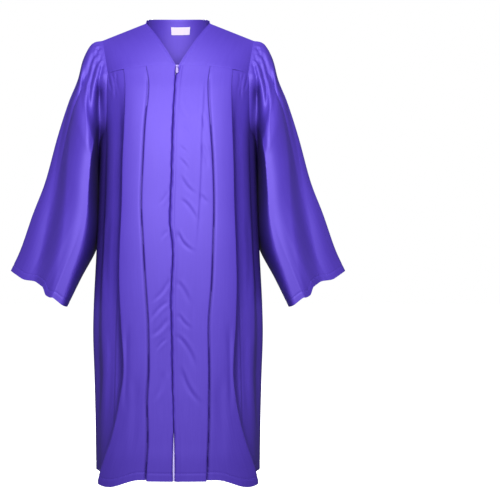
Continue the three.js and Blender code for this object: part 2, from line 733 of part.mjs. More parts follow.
// Slider body with the bail that carries the pull tab
function sliderGeometry() {
  const top = SLIDER_LENGTH / 2;
  const half = SLIDER_WIDTH / 2;
  const foot = SLIDER_FOOT_WIDTH / 2;
  const plan = new THREE.Shape();
  plan.moveTo(-foot, -top);
  plan.lineTo(foot, -top);
  plan.lineTo(half, top - half / 2);
  plan.quadraticCurveTo(half, top, half / 2, top);
  plan.lineTo(-half / 2, top);
  plan.quadraticCurveTo(-half, top, -half, top - half / 2);
  plan.lineTo(-foot, -top);
  const body = plate(plan, -CLOTH, SLIDER_PROUD);
  const base = SLIDER_PROUD - BAIL_BITE;
  const arch = new THREE.Shape();
  arch.moveTo(base, -BAIL_OUTER);
  arch.lineTo(HINGE_OUT, -BAIL_OUTER);
  arch.absarc(HINGE_OUT, 0, BAIL_OUTER, -Math.PI / 2, Math.PI / 2, false);
  arch.lineTo(base, BAIL_OUTER);
  arch.lineTo(base, BAIL_INNER);
  arch.lineTo(HINGE_OUT, BAIL_INNER);
  arch.absarc(HINGE_OUT, 0, BAIL_INNER, Math.PI / 2, -Math.PI / 2, true);
  arch.lineTo(base, -BAIL_INNER);
  arch.closePath();
  const settings = { depth: BAIL_WIDTH, bevelEnabled: false, curveSegments: CURVE_STEPS };
  const bail = new THREE.ExtrudeGeometry(arch, settings);
  bail.translate(0, 0, -BAIL_WIDTH / 2);
  bail.applyMatrix4(new THREE.Matrix4().makeBasis(vector(0, -1, 0), vector(0, 0, 1), vector(-1, 0, 0)));
  bail.translate(0, 0, PULL_HINGE_RISE);
  return joined(body, bail);
}

// Pull tab with the eye that hangs on the bail
function pullGeometry() {
  const neck = PULL_NECK_WIDTH / 2;
  const half = PULL_WIDTH / 2;
  const plan = new THREE.Shape();
  plan.moveTo(-neck, PULL_BAR);
  plan.lineTo(-half, -PULL_LENGTH + half);
  plan.absarc(0, -PULL_LENGTH + half, half, Math.PI, 2 * Math.PI, false);
  plan.lineTo(neck, PULL_BAR);
  plan.closePath();
  const eye = new THREE.Path();
  const eyeHalf = PULL_EYE_WIDTH / 2;
  eye.moveTo(-eyeHalf, -PULL_BAR);
  eye.lineTo(eyeHalf, -PULL_BAR);
  eye.lineTo(eyeHalf, -PULL_EYE_END);
  eye.lineTo(-eyeHalf, -PULL_EYE_END);
  eye.closePath();
  plan.holes.push(eye);
  const tab = plate(plan, -PULL_THICK / 2, PULL_THICK / 2);
  tab.translate(0, -HINGE_OUT, PULL_HINGE_RISE);
  return tab;
}

function mesh(name, geometry, material) {
  const piece = new THREE.Mesh(geometry, material);
  piece.name = name;
  return piece;
}

// Place of the slider: on the outer face of the cloth at the zip, leaning with it.
function zipGroup() {
  const face = (drop) => frontPoint(1, along(ZIP, "x", drop), pleatLevel(drop) + CLOTH / 2, drop);
  const reach = SLIDER_LENGTH / 2;
  const above = face(SLIDER_DROP - reach);
  const below = face(SLIDER_DROP + reach);
  const group = new THREE.Group();
  group.position.copy(above).lerp(below, 0.5);
  group.rotation.x = -Math.atan2(above.y - below.y, above.z - below.z);
  group.add(mesh("zip_slider", sliderGeometry(), PULL_COLOUR));
  group.add(mesh("zip_pull", pullGeometry(), PULL_COLOUR));
  return group;
}

const gown = new THREE.Group();
const back = backGrid();
const backYoke = backYokeGrid();
for (const side of [1, -1]) {
  const name = side > 0 ? "left" : "right";
  const front = frontGrid(side);
  const yoke = frontYokeGrid(side);
  const backEnd = (row) => row.at(side > 0 ? -1 : 0);
  const loop = armholeLoop(
    yoke.map((row) => row.at(-1)),
    front.map((row) => row.at(-1)),
    back.map(backEnd),
    backYoke.map(backEnd),
  );
  gown.add(mesh("yoke_front_" + name, wall(yoke, CLOTH, { square: squareYoke }), GOWN));
  gown.add(mesh("front_" + name, wall(front, CLOTH, { square: squarePanel([front[0].length - 1]) }), GOWN));
  gown.add(mesh("sleeve_" + name, wall(sleeveGrid(side, loop), CLOTH, { ring: true }), GOWN));
  gown.add(mesh("zip_tape_" + name, wall(tapeGrid(side), TAPE), TAPE_COLOUR));
}
gown.add(mesh("back", wall(back, CLOTH, { square: squarePanel([0, BACK_COLUMNS]) }), GOWN));
gown.add(mesh("yoke_back", wall(backYoke, CLOTH, { square: squareBackYoke }), GOWN));
gown.add(mesh("label", wall(labelGrid(backYoke), LABEL), LABEL_COLOUR));
gown.add(zipGroup());

export default gown;
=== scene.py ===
# Graduation gown with a zip front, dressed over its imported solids: fine cloth, creases, sewing and zip.
# Sizes are millimetres and heights are drops below the origin, as in the part's source.
# Meshes are made in metres, in the frame's own axes: the front faces -Y and the wearer's left is +X.
import math

import bmesh
import bpy
import numpy as np
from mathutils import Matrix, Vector


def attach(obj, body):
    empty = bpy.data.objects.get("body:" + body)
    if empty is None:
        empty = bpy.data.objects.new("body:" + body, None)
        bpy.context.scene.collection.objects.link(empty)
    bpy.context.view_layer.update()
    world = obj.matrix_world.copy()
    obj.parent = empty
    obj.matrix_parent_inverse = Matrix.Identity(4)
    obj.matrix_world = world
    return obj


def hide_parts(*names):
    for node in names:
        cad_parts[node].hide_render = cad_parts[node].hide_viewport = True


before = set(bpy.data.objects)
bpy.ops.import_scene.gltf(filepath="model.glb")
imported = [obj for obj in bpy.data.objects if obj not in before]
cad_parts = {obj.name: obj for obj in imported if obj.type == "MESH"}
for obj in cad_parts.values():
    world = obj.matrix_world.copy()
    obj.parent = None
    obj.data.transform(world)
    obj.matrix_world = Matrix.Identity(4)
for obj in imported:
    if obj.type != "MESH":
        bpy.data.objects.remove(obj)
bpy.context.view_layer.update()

MM = 0.001
FRONT = -1
BACK = 1

# Driving dimensions, those of the part's source
CLOTH = 1.4
SEAM_GAP = 0.3
HEM_DROP = 1278
UNDERARM_DROP = 330
YOKE_DROP_CENTRE = 132
YOKE_DROP_ARMHOLE = 149
YOKE_SEAM_REACH = 214
YOKE_SEAM_POWER = 2.4
BACK_YOKE_DROP = 165
NECK_HALF = 91
NECK_RISE = 4
BACK_NECK_RISE = 31
BACK_NECK_DEPTH = 74
SHOULDER_HALF = 217
SHOULDER_DROP = 46
ARMHOLE_FRONT = 65
ARMHOLE_BACK = 54
SEAM_Y = 10
UNDERLAP = 26
FRONT_POWER = 2.6
BACK_POWER = 2.3
LOBE_DROP = 26
LOBE_ARC = 188
LOBE_WIDTH = 45
FRONT_YOKE_BEND = (0.45, 0.62, 0.36)
BACK_YOKE_BEND = (0.45, 0.75, 0.2)
BACK_NECK_BEND = (0.5, 0.6, 0.35)
BACK_NECK_SHARE = 0.45
SLEEVE_POINT = 0.8
SLEEVE_TOP_POWER = 3
SEAT_END = 0.3
SEAT_END_SIDEWAYS = 0.1
EVEN_STEPS_FROM = 0.3
FOLD_OPEN_START = 0.02
FOLD_OPEN_END = 0.18
FOLD_OUTER_REACH = 24
FOLD_INNER = (150, 182)
FOLD_INNER_REACH = 10
FOLD_EDGE = 12
UNDERCUT = 0.05
UNDERCUT_PLACE = 160
UNDERCUT_REACH = 18
SIDE_FOLD_CLOSE = 980
SIDE_FOLD_HEM = 0.3
SIDE_FOLD_SEAM = 45
TAPE = 1.0
TAPE_WIDTH = 12
LABEL = 0.8

# Softer than in the solids: how far out the sleeve's head is set at the underarm and at the top, the drop
# over which the long side folds open, and the angles where the sleeve's front fold begins
SLEEVE_SET = -0.5
SLEEVE_TOP_SET = 0
SIDE_FOLD_OPEN = 210
FOLD_OUTER = (12, 125)

# Rounding of that fold outside its ridge, in the scene alone: where it begins, its depth, the reach over
# which it gets that deep, and where it stops as a share of the reach
FOLD_RIDGE = 24
FOLD_ROUND = 34
FOLD_ROUND_REACH = 60
FOLD_ROUND_END = 1.3

# Slope of the strip outside that fold, in the scene alone: the share where it is full, the angles over
# which it ends, its curve, and the rounding at the outer edge
OUTER_SLOPE_FROM = 0.25
OUTER_SLOPE_END = (120, 160)
OUTER_CURVE = 2
OUTER_ROUND = 0.07

# Steps of the fine meshes
ARC_SAMPLES = 64
FRONT_STEPS = [48, 8, 4, 8, 28, 8, 4, 8, 56]
FRONT_ROWS = 240
BACK_COLUMNS = 150
BACK_ROWS = 180
HEM_BAND = 30
HEM_BAND_ROWS = 14
YOKE_ROWS = 40
YOKE_COLUMNS = 60
BACK_YOKE_COLUMNS = 144
BACK_YOKE_SMOOTHINGS = 80
GATHERS = 6
GATHER_STEPS = 10
ARMHOLE_STEPS = 26
SLEEVE_ROWS = 150
CUFF_ROWS = 14
CUFF_FROM = 0.96
CLOSER = 1.5
CLOSER_SLEEVE = 1.2
CALM_EDGE = 0.08
BACK_CALM = 30
TAPE_ROWS = 120

# Parts of a front panel from the zip to the side, in the order of FRONT_STEPS. The fold, the return and
# the under-fold of a pleat lie between two open parts.
PARTS = range(len(FRONT_STEPS))
PLACKET, SIDE_FRONT, SIDE = PARTS[::4]


def table(names, rows):
    return dict(zip(names, np.array(rows, float).T))


# Body section at each drop: half width at the side seams, depth in front of and behind the origin
BODY = table(["at", "half", "front", "back"], [
    [0, 214, 60, 80],
    [132, 219, 92, 103],
    [200, 220, 108, 110],
    [330, 223, 121, 117],
    [520, 229, 128, 120],
    [640, 234.5, 132, 122],
    [865, 244.5, 137, 130],
    [1020, 240.5, 140, 138],
    [1150, 237.5, 138, 145],
    [1290, 235.5, 134, 152],
])

# Knife pleats: distance of each fold edge from the centre, and the space from layer to layer
PLEATS = table([
    "at", "inner_left", "inner_right", "outer_left", "outer_right", "inner_pitch", "outer_pitch",
], [
    [132, 89, 88, 153, 152, 1.9, 1.9],
    [190, 81, 79, 148, 146, 2.4, 2.4],
    [300, 86, 88, 149, 148, 3.0, 3.0],
    [400, 92, 93, 152, 152, 3.3, 3.3],
    [520, 95, 97, 154, 154, 3.6, 3.6],
    [640, 92, 91, 158, 159, 4.0, 4.0],
    [740, 88, 85, 160, 160, 4.3, 4.3],
    [850, 80, 78, 157, 155, 4.6, 4.6],
    [980, 81, 76, 150, 148, 5.2, 5.0],
    [1060, 80, 80, 156, 157, 5.8, 6.5],
    [1120, 79, 78, 166, 167, 6.2, 8.5],
    [1176, 77, 77, 179, 179, 6.6, 10.5],
    [1216, 75, 79, 190, 190, 7.0, 12.0],
    [1255, 74, 81, 200, 200, 7.0, 13.0],
    [1290, 73, 82, 206, 206, 7.0, 14.0],
])

# Long folds beyond the outer pleat: distance from its fold edge, and rise off the body
SIDE_FOLDS = table(["at", "rise"], [
    [0, 0],
    [9, -12],
    [24, -25],
    [44, -28],
    [70, -25],
    [100, -18],
])

# Zip line: sideways wander, and the gap between the two folded edges of cloth, which is narrower at the
# top than in the solids
ZIP = table(["at", "x", "gap"], [
    [132, -2, 7.0],
    [151, -4, 2.6],
    [190, -8, 1.0],
    [290, -14, 1.0],
    [443, -18, 1.0],
    [575, -22, 1.0],
    [645, -14, 1.0],
    [781, -19, 1.0],
    [868, -17, 1.0],
    [1000, -15, 1.0],
    [1130, -11, 1.0],
    [1180, -11, 4.5],
    [1220, -11, 6.5],
    [1290, -11, 6.5],
])

# Soft flutes of the back: place along the half girth, reach to each side, and rise at the hem
BACK_FLUTES = [
    (-190, 46, 17),
    (-112, 44, 20),
    (-34, 42, 16),
    (44, 46, 21),
    (124, 44, 18),
    (196, 44, 16),
]

# Sleeve sections from the armhole to the cuff: the outer and the under edge, how far back the
# under edge leans, the depth in front and behind, and how far forward the front fold hangs
SLEEVE = table(["at", "out_x", "out_drop", "in_x", "in_drop", "lean", "front", "back", "fold"], [
    [0, 217, 46, 223, 330, 10, 86, 80, 86],
    [0.06, 248, 56, 223, 345, 24, 86, 86, 88],
    [0.12, 272, 98, 222, 372, 38, 80, 92, 90],
    [0.2, 288, 158, 222, 408, 46, 70, 96, 92],
    [0.3, 314, 222, 222, 452, 54, 68, 98, 94],
    [0.45, 347, 325, 222, 520, 60, 68, 100, 96],
    [0.6, 381, 450, 224, 590, 64, 70, 104, 98],
    [0.75, 418, 547, 242, 655, 58, 70, 108, 101],
    [0.88, 452, 645, 276, 725, 40, 68, 112, 104],
    [1, 481, 708, 313, 808, 20, 66, 116, 107],
])

# Long folds of the sleeve: angle from the outer edge round the front at the armhole and at the cuff,
# half width in degrees, rise and lift of the hem at the cuff, and where the fold begins
SLEEVE_FOLDS = [
    (12, 72, 30, 2, 0, 0.3),
    (-12, 112, 34, -2, 0, 0.3),
    (95, 158, 20, 2, 6, 0.3),
    (214, 220, 26, 18, 0, 0.35),
    (252, 256, 24, -16, 14, 0.3),
    (292, 296, 26, 16, 4, 0.3),
    (330, 330, 22, -10, 0, 0.4),
]

# Step in the cuff's edge where the front fold begins, in the scene alone: lift of the cloth
# outside it, the angles where it begins and is full, the angles of the step itself, and the share where
# it begins
CUFF_STEP = 17
CUFF_STEP_RISE = (72, 112)
CUFF_STEP_FALL = (127, 135)
CUFF_STEP_FROM = 0.6

# Sleeve-head gathers from the shoulder seam to the yoke corner: rise, share where each dies out, share
# where all are full, and a power that widens their tops
GATHER_RISES = [0.5, 0.8, 0.6, 0.9, 0.7, 0.6]
GATHER_ENDS = [0.05, 0.08, 0.06, 0.09, 0.07, 0.05]
GATHER_FULL = 0.03
GATHER_POWER = 0.6

# Creases are lines on the cloth: start and end as distance from the centre and drop, sideways bow,
# width and depth. A crease of negative depth stands up as a ridge.
CREASES_RIGHT = [
    (-30, 491, -48, 519, 2, 4, 0.7),
    (-28, 598, -44, 616, -2, 4, 0.6),
    (-24, 731, -61, 783, 4, 5, 1.0),
    (-31, 792, -69, 834, -3, 5, 1.2),
    (-29, 839, -66, 880, 3, 6, 1.1),
    (-33, 893, -55, 918, -2, 4, 0.8),
    (-40, 985, -58, 1050, 4, 7, 0.9),
]
CREASES_LEFT = [
    (7, 240, 21, 279, -3, 6, 0.6),
    (7, 305, 27, 326, 2, 4, 0.6),
    (5, 361, 21, 375, -1, 4, 0.7),
    (4, 397, 24, 421, 2, 4, 0.9),
    (9, 446, 40, 488, -4, 5, 1.0),
    (11, 510, 46, 558, 4, 5, 1.2),
    (-1, 601, 33, 646, -5, 5, 1.3),
    (-1, 736, 28, 786, 3, 6, 0.9),
    (1, 826, 28, 858, -2, 5, 1.0),
    (-1, 884, 43, 957, 6, 6, 1.3),
    (9, 974, 47, 1053, -5, 6, 1.6),
    (67, 271, 74, 312, 0, 5, 0.9),
    (67, 359, 79, 413, 2, 6, 1.1),
    (61, 496, 76, 516, 0, 5, 1.0),
    (69, 190, 61, 330, 0, 4, -0.8),
    (61, 330, 49, 600, 2, 4, -1.0),
]
CREASES_SIDE_FRONT = [
    (141, 872, 145, 1062, 3, 8, 2.6),
    (118, 1010, 126, 1190, -4, 12, 1.6),
]
CREASES_SIDE = [
    (196, 152, 186, 196, 3, 4, 1.2),
    (186, 151, 177, 214, -3, 4, 1.6),
    (174, 150, 168, 200, 2, 4, 1.2),
    (167, 772, 176, 1138, 1, 3, -1.6),
    (196, 560, 202, 760, 5, 9, 1.6),
    (190, 900, 199, 1120, -4, 9, 1.8),
]
CREASES_BACK = [
    (-172, 168, -166, 292, 4, 5, 1.6),
    (-151, 168, -150, 236, -2, 4, 1.3),
    (-128, 168, -120, 341, 3, 6, 1.9),
    (-96, 168, -101, 250, 2, 5, 1.2),
    (-71, 168, -66, 372, -4, 6, 1.7),
    (-38, 168, -42, 226, 1, 4, 1.1),
    (-12, 168, -9, 318, 3, 6, 1.6),
    (22, 168, 26, 262, -2, 5, 1.3),
    (49, 168, 47, 389, 4, 6, 1.8),
    (83, 168, 88, 240, -1, 4, 1.2),
    (107, 168, 112, 330, -3, 6, 1.8),
    (139, 168, 137, 257, 2, 5, 1.4),
    (163, 168, 169, 305, -3, 5, 1.6),
]
CREASES_SLEEVE = [
    (239, 84, 257, 165, 3, 6, 5.0),
    (229, 102, 251, 212, 5, 6, 6.0),
    (212, 116, 226, 196, 3, 6, 6.0),
    (221, 178, 226, 340, 0, 12, 20.0),
    (225, 66, 235, 92, 1, 4, 2.6),
    (219, 92, 229, 120, -1, 4, 2.4),
    (258, 130, 272, 240, 3, 8, 2.0),
]
CREASE_LIP = 0.55
CREASE_LIP_PLACE = 1.5
CREASE_LEAD = 0.15
CREASE_OPEN = 0.35
CREASE_TAIL = 0.3
CREASE_CLOSE = 0.6

# Rolled edges of the cloth at the zip: width and depth of the roll, the drop over which it begins,
# and the soft lip on the wearer's left
ZIP_ROLL = 4.5
ZIP_ROLL_DEPTH = 4.5
ZIP_ROLL_START = 20
ZIP_PUCKER = 0.5
ZIP_PUCKER_PITCHES = (7.3, 17.9)
ZIP_LIP = 1.2
ZIP_LIP_PLACE = 9
ZIP_LIP_WIDTH = 4

# Dip just outside the fold edges of the inner pleats: depth, place, width and the drop over which it opens
PLEAT_DIP = 4
PLEAT_DIP_PLACE = 3
PLEAT_DIP_WIDTH = 4
PLEAT_DIP_START = 40

# Sewing: rows of stitches in from the edges, the grooves they draw, and one stitch
NECK_ROWS = (6, 11)
SEAM_ROW = 3
HEM_ROW = 22
CUFF_ROW = 18
GROOVE_DEPTH = 0.6
GROOVE_WIDTH = 2
SEAM_DIP = 0.7
SEAM_DIP_REACH = 5
STITCH_LENGTH = 2.2
STITCH_PITCH = 3.2
STITCH_RADIUS = 0.25
STITCH_RINGS = [(-1, 0.4), (-0.6, 1), (0.6, 1), (1, 0.4)]
STITCH_TURNS = np.radians([45, 135, 225, 315])

# Zip coil: pitch and size of one tooth, sideways, along and through the tape
TOOTH_PITCH = 1.4
TOOTH = (2.6, 0.8, 1.4)

# Edges that shade sharp in the cloth and the sewing, and rounding of the slider's and the pull tab's edges
CLOTH_SHARP_ANGLE = 55
ROUNDING = 0.3
ROUNDING_STEPS = 2
WELD = 0.001
FLAT_ANGLE = 3
SHARP_ANGLE = 40

# Label: the columns and rows of the back yoke that it lies on
LABEL_ACROSS = slice(67, 82)
LABEL_DOWN = slice(5, 11)

# Camera, set to the photograph's frame
CAMERA_AWAY = 3100
CAMERA_DROP = 648
FRAME_WIDTH = 1440
SENSOR = 36
FRAME_SHIFT = 0.144

# Painted shade, darkening the cloth's colour and gloss in deep hollows: how far it looks round, the shares of
# open sky between which it works, and what is left of the colour in the deepest ones
HOLLOW_REACH = 120
HOLLOW_DEEP = 0.1
HOLLOW_OPEN = 0.75
PAINTED_SHADE_DEEPEST = 0.12
HOLLOW_SAMPLES = 8

# Cloth's look: stretch and detail of the streaks along its threads, scale and detail of the broad clouds,
# the sums of both at the dark and the light colour, and the waver of the gloss
STREAK_STRETCH = (260, 9, 1)
STREAK_DETAIL = 3
CLOUD_SCALE = 7.0
CLOUD_DETAIL = 2
SHADES = (0.6, 1.4)
CLOTH_GLOSS_WAVER = 0.04
SHEEN_ROUGHNESS = 0.35

# Threads: the wave texture's own period, how much they waver, and their height as a share of the width
WAVE_PERIOD = math.pi / 10
THREAD_WAVER = 0.4
THREAD_HEIGHT = 0.25

# Waver of the gloss of thread, coil and paint
COATED_GLOSS_WAVER = 0.08

# Stage: floor, surrounding light, and the lamps' places, targets and sizes in metres and powers in watts
WHITE = (1, 1, 1, 1)
FLOOR_COLOUR = (0.9, 0.9, 0.9, 1)
FLOOR_ROUGHNESS = 0.9
AMBIENT = 0.1
LAMPS = [
    ("key", (0.6, -2.4, 0.25), (0, 0, -0.5), 0.6, 48),
    ("key", (-0.6, -2.4, 0.25), (0, 0, -0.5), 0.6, 48),
    ("top", (0, -1.5, 1.7), (0, 0, -0.15), 0.8, 31),
    ("rear", (0, 2.5, 1.1), (0, 0, -0.6), 0.8, 80),
]
FLOOR_DROP = 1420
FLOOR_SIZE = 24000


def ease(value):
    value = np.clip(value, 0, 1)
    return value * value * (3 - 2 * value)


def mix(start, end, share):
    return start + (end - start) * share


# Share of the way from the first of two places to the second.
def between(value, places):
    return ease((value - places[0]) / (places[1] - places[0]))


def bump(distance):
    return np.where(np.abs(distance) < 1, np.cos(np.clip(distance, -1, 1) * math.pi / 2) ** 2, 0)


def points(x, y, z):
    return np.stack(np.broadcast_arrays(x, y, z), -1)


def unit(vectors):
    return vectors / np.maximum(np.linalg.norm(vectors, axis=-1, keepdims=True), 1e-9)


# Smooth value of one column of a table at places along it.
def along(rows, name, at):
    keys = rows["at"]
    values = rows[name]
    slopes = np.gradient(values, np.arange(len(keys))) / np.gradient(keys, np.arange(len(keys)))
    i = np.clip(np.searchsorted(keys, at) - 1, 0, len(keys) - 2)
    span = keys[i + 1] - keys[i]
    t = np.clip((at - keys[i]) / span, 0, 1)
    leave = t * (1 - t) ** 2 * span * slopes[i]
    arrive = t * t * (t - 1) * span * slopes[i + 1]
    return mix(values[i], values[i + 1], ease(t)) + leave + arrive


TURNS = np.linspace(0, math.pi / 2, ARC_SAMPLES + 1)


# Half width, depth, power and arc lengths of a quarter of the body's section at each drop.
def quarter(drop, facing):
    drop = np.asarray(drop, float)
    half = along(BODY, "half", drop)
    depth = along(BODY, "front", drop) + SEAM_Y if facing == FRONT else along(BODY, "back", drop) - SEAM_Y
    power = 2 / (FRONT_POWER if facing == FRONT else BACK_POWER)
    across = half[..., None] * np.sin(TURNS) ** power
    out = depth[..., None] * np.cos(TURNS) ** power
    lengths = np.hypot(np.diff(across), np.diff(out))
    arcs = np.concatenate([np.zeros(half.shape + (1,)), np.cumsum(lengths, -1)], -1)
    return half, depth, power, arcs


# Arc length from the middle out to a distance sideways.
def arc_at(section, x):
    half, _, power, arcs = section
    place = np.arcsin(np.clip(x / half, 0, 1) ** (1 / power)) / TURNS[1]
    i = np.clip(place.astype(int), 0, ARC_SAMPLES - 1)[..., None]
    low = np.take_along_axis(arcs, i, -1)
    high = np.take_along_axis(arcs, i + 1, -1)
    return mix(low, high, place[..., None] - i)[..., 0]


# Points of the body at arc lengths from the middle, moved out along the normal.
def body_points(arc, out, drop, facing):
    arc, out, drop = np.broadcast_arrays(arc, out, np.asarray(drop, float))
    half, depth, power, arcs = quarter(drop, facing)
    reach = np.abs(arc)
    i = np.clip((arcs < reach[..., None]).sum(-1) - 1, 0, ARC_SAMPLES - 1)[..., None]
    low = np.take_along_axis(arcs, i, -1)[..., 0]
    high = np.take_along_axis(arcs, i + 1, -1)[..., 0]
    turn = np.clip(TURNS[i[..., 0]] + TURNS[1] * (reach - low) / (high - low), 0, math.pi / 2)
    normal_x = np.sin(turn) ** (2 - power) / half
    normal_y = np.cos(turn) ** (2 - power) / depth
    length = np.hypot(normal_x, normal_y)
    x = half * np.sin(turn) ** power + out * normal_x / length
    y = depth * np.cos(turn) ** power + out * normal_y / length
    return points(np.where(arc < 0, -x, x), SEAM_Y + facing * y, -drop)


# Arc length of the armhole edge or, below the underarm, of the side seam.
def edge_arc(total, drop, top, recess):
    fall = np.clip((drop - top) / (UNDERARM_DROP - top), 0, 1)
    return total - np.where(drop < UNDERARM_DROP, recess * np.sqrt(1 - fall * fall), 0)


def yoke_drop(arc):
    return mix(YOKE_DROP_CENTRE, YOKE_DROP_ARMHOLE, np.abs(arc / YOKE_SEAM_REACH) ** YOKE_SEAM_POWER)


def pleat_level(drop):
    return 2 * (along(PLEATS, "inner_pitch", drop) + along(PLEATS, "outer_pitch", drop))


# Troughs with a soft lip on one side, along slightly bowed lines on the cloth.
def crease_rise(x, drop, creases):
    total = np.zeros(np.broadcast(x, drop).shape)
    for start_x, start_drop, end_x, end_drop, bow, width, depth in creases:
        run_x = end_x - start_x
        run_drop = end_drop - start_drop
        length = math.hypot(run_x, run_drop)
        share = ((x - start_x) * run_x + (drop - start_drop) * run_drop) / length ** 2
        across = ((x - start_x) * run_drop - (drop - start_drop) * run_x) / length
        across = (across - 4 * bow * share * (1 - share)) / width
        taper = ease((share + CREASE_LEAD) / CREASE_OPEN) * ease((1 + CREASE_TAIL - share) / CREASE_CLOSE)
        profile = CREASE_LIP * np.exp(-(across - CREASE_LIP_PLACE) ** 2) - np.exp(-across ** 2)
        total += depth * taper * profile
    return total


# Which part of a front panel each column lies in, and its share of the way across that part. The
# columns lie closer together beside the zip.
def front_columns():
    part = np.concatenate([np.full(count, i) for i, count in enumerate(FRONT_STEPS)] + [[SIDE]])
    share = np.concatenate([np.arange(count) / count for count in FRONT_STEPS] + [[1.0]])
    return part, np.where(part == PLACKET, share ** CLOSER, share)


# Dip of the cloth just outside the inner pleat's fold edge.
def pleat_shade(side, arc, drop):
    edges = along(PLEATS, "inner_left" if side > 0 else "inner_right", drop)
    distance = arc - arc_at(quarter(drop, FRONT), edges)
    opened = ease((drop - YOKE_DROP_ARMHOLE) / PLEAT_DIP_START)
    return opened * PLEAT_DIP * np.exp(-((distance - PLEAT_DIP_PLACE) / PLEAT_DIP_WIDTH) ** 2)


# How far the rolled zip edges have begun at each drop.
def zip_roll(drop):
    return ZIP_ROLL_DEPTH * ease((drop - YOKE_DROP_CENTRE) / ZIP_ROLL_START)


# Rise of the cloth beside the zip at distances in from its edge.
def zip_edge_rise(side, distance, drop):
    pucker = ZIP_PUCKER * np.sin(drop / ZIP_PUCKER_PITCHES[0] + side) * np.sin(drop / ZIP_PUCKER_PITCHES[1])
    roll = zip_roll(drop) * np.clip(1 - distance / (ZIP_ROLL * (1 + pucker)), 0, 1) ** 2
    lip = ZIP_LIP * np.exp(-((distance - ZIP_LIP_PLACE) / ZIP_LIP_WIDTH) ** 2)
    return np.where(side > 0, lip, 0) - roll


# Long folds beyond the outer pleat, which open below the yoke and close towards the hem and the seam.
def side_fold_rise(arc, edge, seam, drop):
    opened = ease((drop - YOKE_DROP_ARMHOLE) / SIDE_FOLD_OPEN)
    closed = ease((drop - SIDE_FOLD_CLOSE) / (HEM_DROP - SIDE_FOLD_CLOSE))
    rise = along(SIDE_FOLDS, "rise", arc - edge) * ease((seam - arc) / SIDE_FOLD_SEAM)
    return opened * mix(1, SIDE_FOLD_HEM, closed) * rise


# Arc lengths and heights off the body of a front panel's columns at each drop.
def front_section(side, drop, part, share):
    section = quarter(drop, FRONT)
    name = "left" if side > 0 else "right"
    inner_round = along(PLEATS, "inner_pitch", drop) / 2
    outer_round = along(PLEATS, "outer_pitch", drop) / 2
    inner = arc_at(section, along(PLEATS, "inner_" + name, drop))
    outer = arc_at(section, along(PLEATS, "outer_" + name, drop))
    top = 4 * (inner_round + outer_round)
    start = side * along(ZIP, "x", drop) + along(ZIP, "gap", drop) / 2
    end = edge_arc(section[3][..., -1], drop, YOKE_DROP_ARMHOLE, ARMHOLE_FRONT)
    turn = math.pi * (0.5 - share)
    inner_back = inner - UNDERLAP + inner_round
    outer_back = outer - UNDERLAP + outer_round
    arc = np.select([part == i for i in PARTS], [
        mix(start, inner - inner_round, share),
        inner - inner_round + inner_round * np.cos(turn),
        mix(inner - inner_round, inner_back, share),
        inner_back - inner_round * np.cos(turn),
        mix(inner_back, outer - outer_round, share),
        outer - outer_round + outer_round * np.cos(turn),
        mix(outer - outer_round, outer_back, share),
        outer_back - outer_round * np.cos(turn),
        mix(outer_back, end, share),
    ])
    out = np.select([part == i for i in PARTS], [
        top,
        top - inner_round + inner_round * np.sin(turn),
        top - 2 * inner_round,
        top - 3 * inner_round + inner_round * np.sin(turn),
        4 * outer_round,
        3 * outer_round + outer_round * np.sin(turn),
        2 * outer_round,
        outer_round + outer_round * np.sin(turn),
        side_fold_rise(arc, outer, section[3][..., -1], drop),
    ])
    return arc, out


# Row shares down a panel, closer together in the hem.
def panel_rows(count, length):
    band = 1 - HEM_BAND / length
    return np.concatenate([np.linspace(0, band, count), np.linspace(band, 1, HEM_BAND_ROWS)[1:]])


def front_grid(side):
    part, share = front_columns()
    top_drop = np.full(part.shape, float(YOKE_DROP_ARMHOLE))
    hem_drop = np.full(part.shape, float(HEM_DROP))
    top_arc, _ = front_section(side, top_drop, part, share)
    hem_arc, _ = front_section(side, hem_drop, part, share)
    lobe = LOBE_DROP * bump((hem_arc - LOBE_ARC) / (2 * LOBE_WIDTH))
    rows = panel_rows(FRONT_ROWS, HEM_DROP - YOKE_DROP_ARMHOLE)
    drop = mix(yoke_drop(top_arc), HEM_DROP + lobe, rows[:, None])
    arc, out = front_section(side, drop, part, share)
    calm = ease(share / CALM_EDGE) * ease((1 - share) / CALM_EDGE)
    creases = CREASES_LEFT if side > 0 else CREASES_RIGHT
    zip_edge = zip_edge_rise(side, arc - arc[:, :1], drop)
    reach = body_points(arc, out, drop, FRONT)[..., 0]
    out = out + np.select([part == PLACKET, part == SIDE_FRONT, part == SIDE], [
        calm * crease_rise(side * arc, drop, creases) + zip_edge,
        calm * crease_rise(reach, drop, CREASES_SIDE_FRONT) - pleat_shade(side, arc, drop),
        calm * crease_rise(reach, drop, CREASES_SIDE),
    ])
    grid = body_points(arc, out, drop, FRONT)
    grid[..., 0] *= side
    return grid


def flute_rise(arc, drop):
    opened = ease((drop - BACK_YOKE_DROP) / (HEM_DROP - BACK_YOKE_DROP))
    return opened * sum(rise * bump((arc - place) / reach) for place, reach, rise in BACK_FLUTES)


def back_grid():
    rows = panel_rows(BACK_ROWS, HEM_DROP - BACK_YOKE_DROP)
    drop = mix(BACK_YOKE_DROP, HEM_DROP, rows)[:, None] + np.zeros(BACK_COLUMNS + 1)
    end = edge_arc(quarter(drop[:, 0], BACK)[3][..., -1], drop[:, 0], BACK_YOKE_DROP, ARMHOLE_BACK)
    arc = end[:, None] * np.linspace(-1, 1, BACK_COLUMNS + 1)
    edge = ease((end[:, None] - np.abs(arc)) / BACK_CALM)
    return body_points(arc, flute_rise(arc, drop) + edge * crease_rise(arc, drop, CREASES_BACK), drop, BACK)


# Curve from a top edge to a bottom edge, bending at shares of the way from the unraised top.
def bent(top, bottom, shares, t, rise=0):
    low_top = top - points(0, 0, rise)
    bend = mix(low_top, bottom, np.asarray(shares))
    return mix(mix(top, bend, t), mix(bend, bottom, t), t)


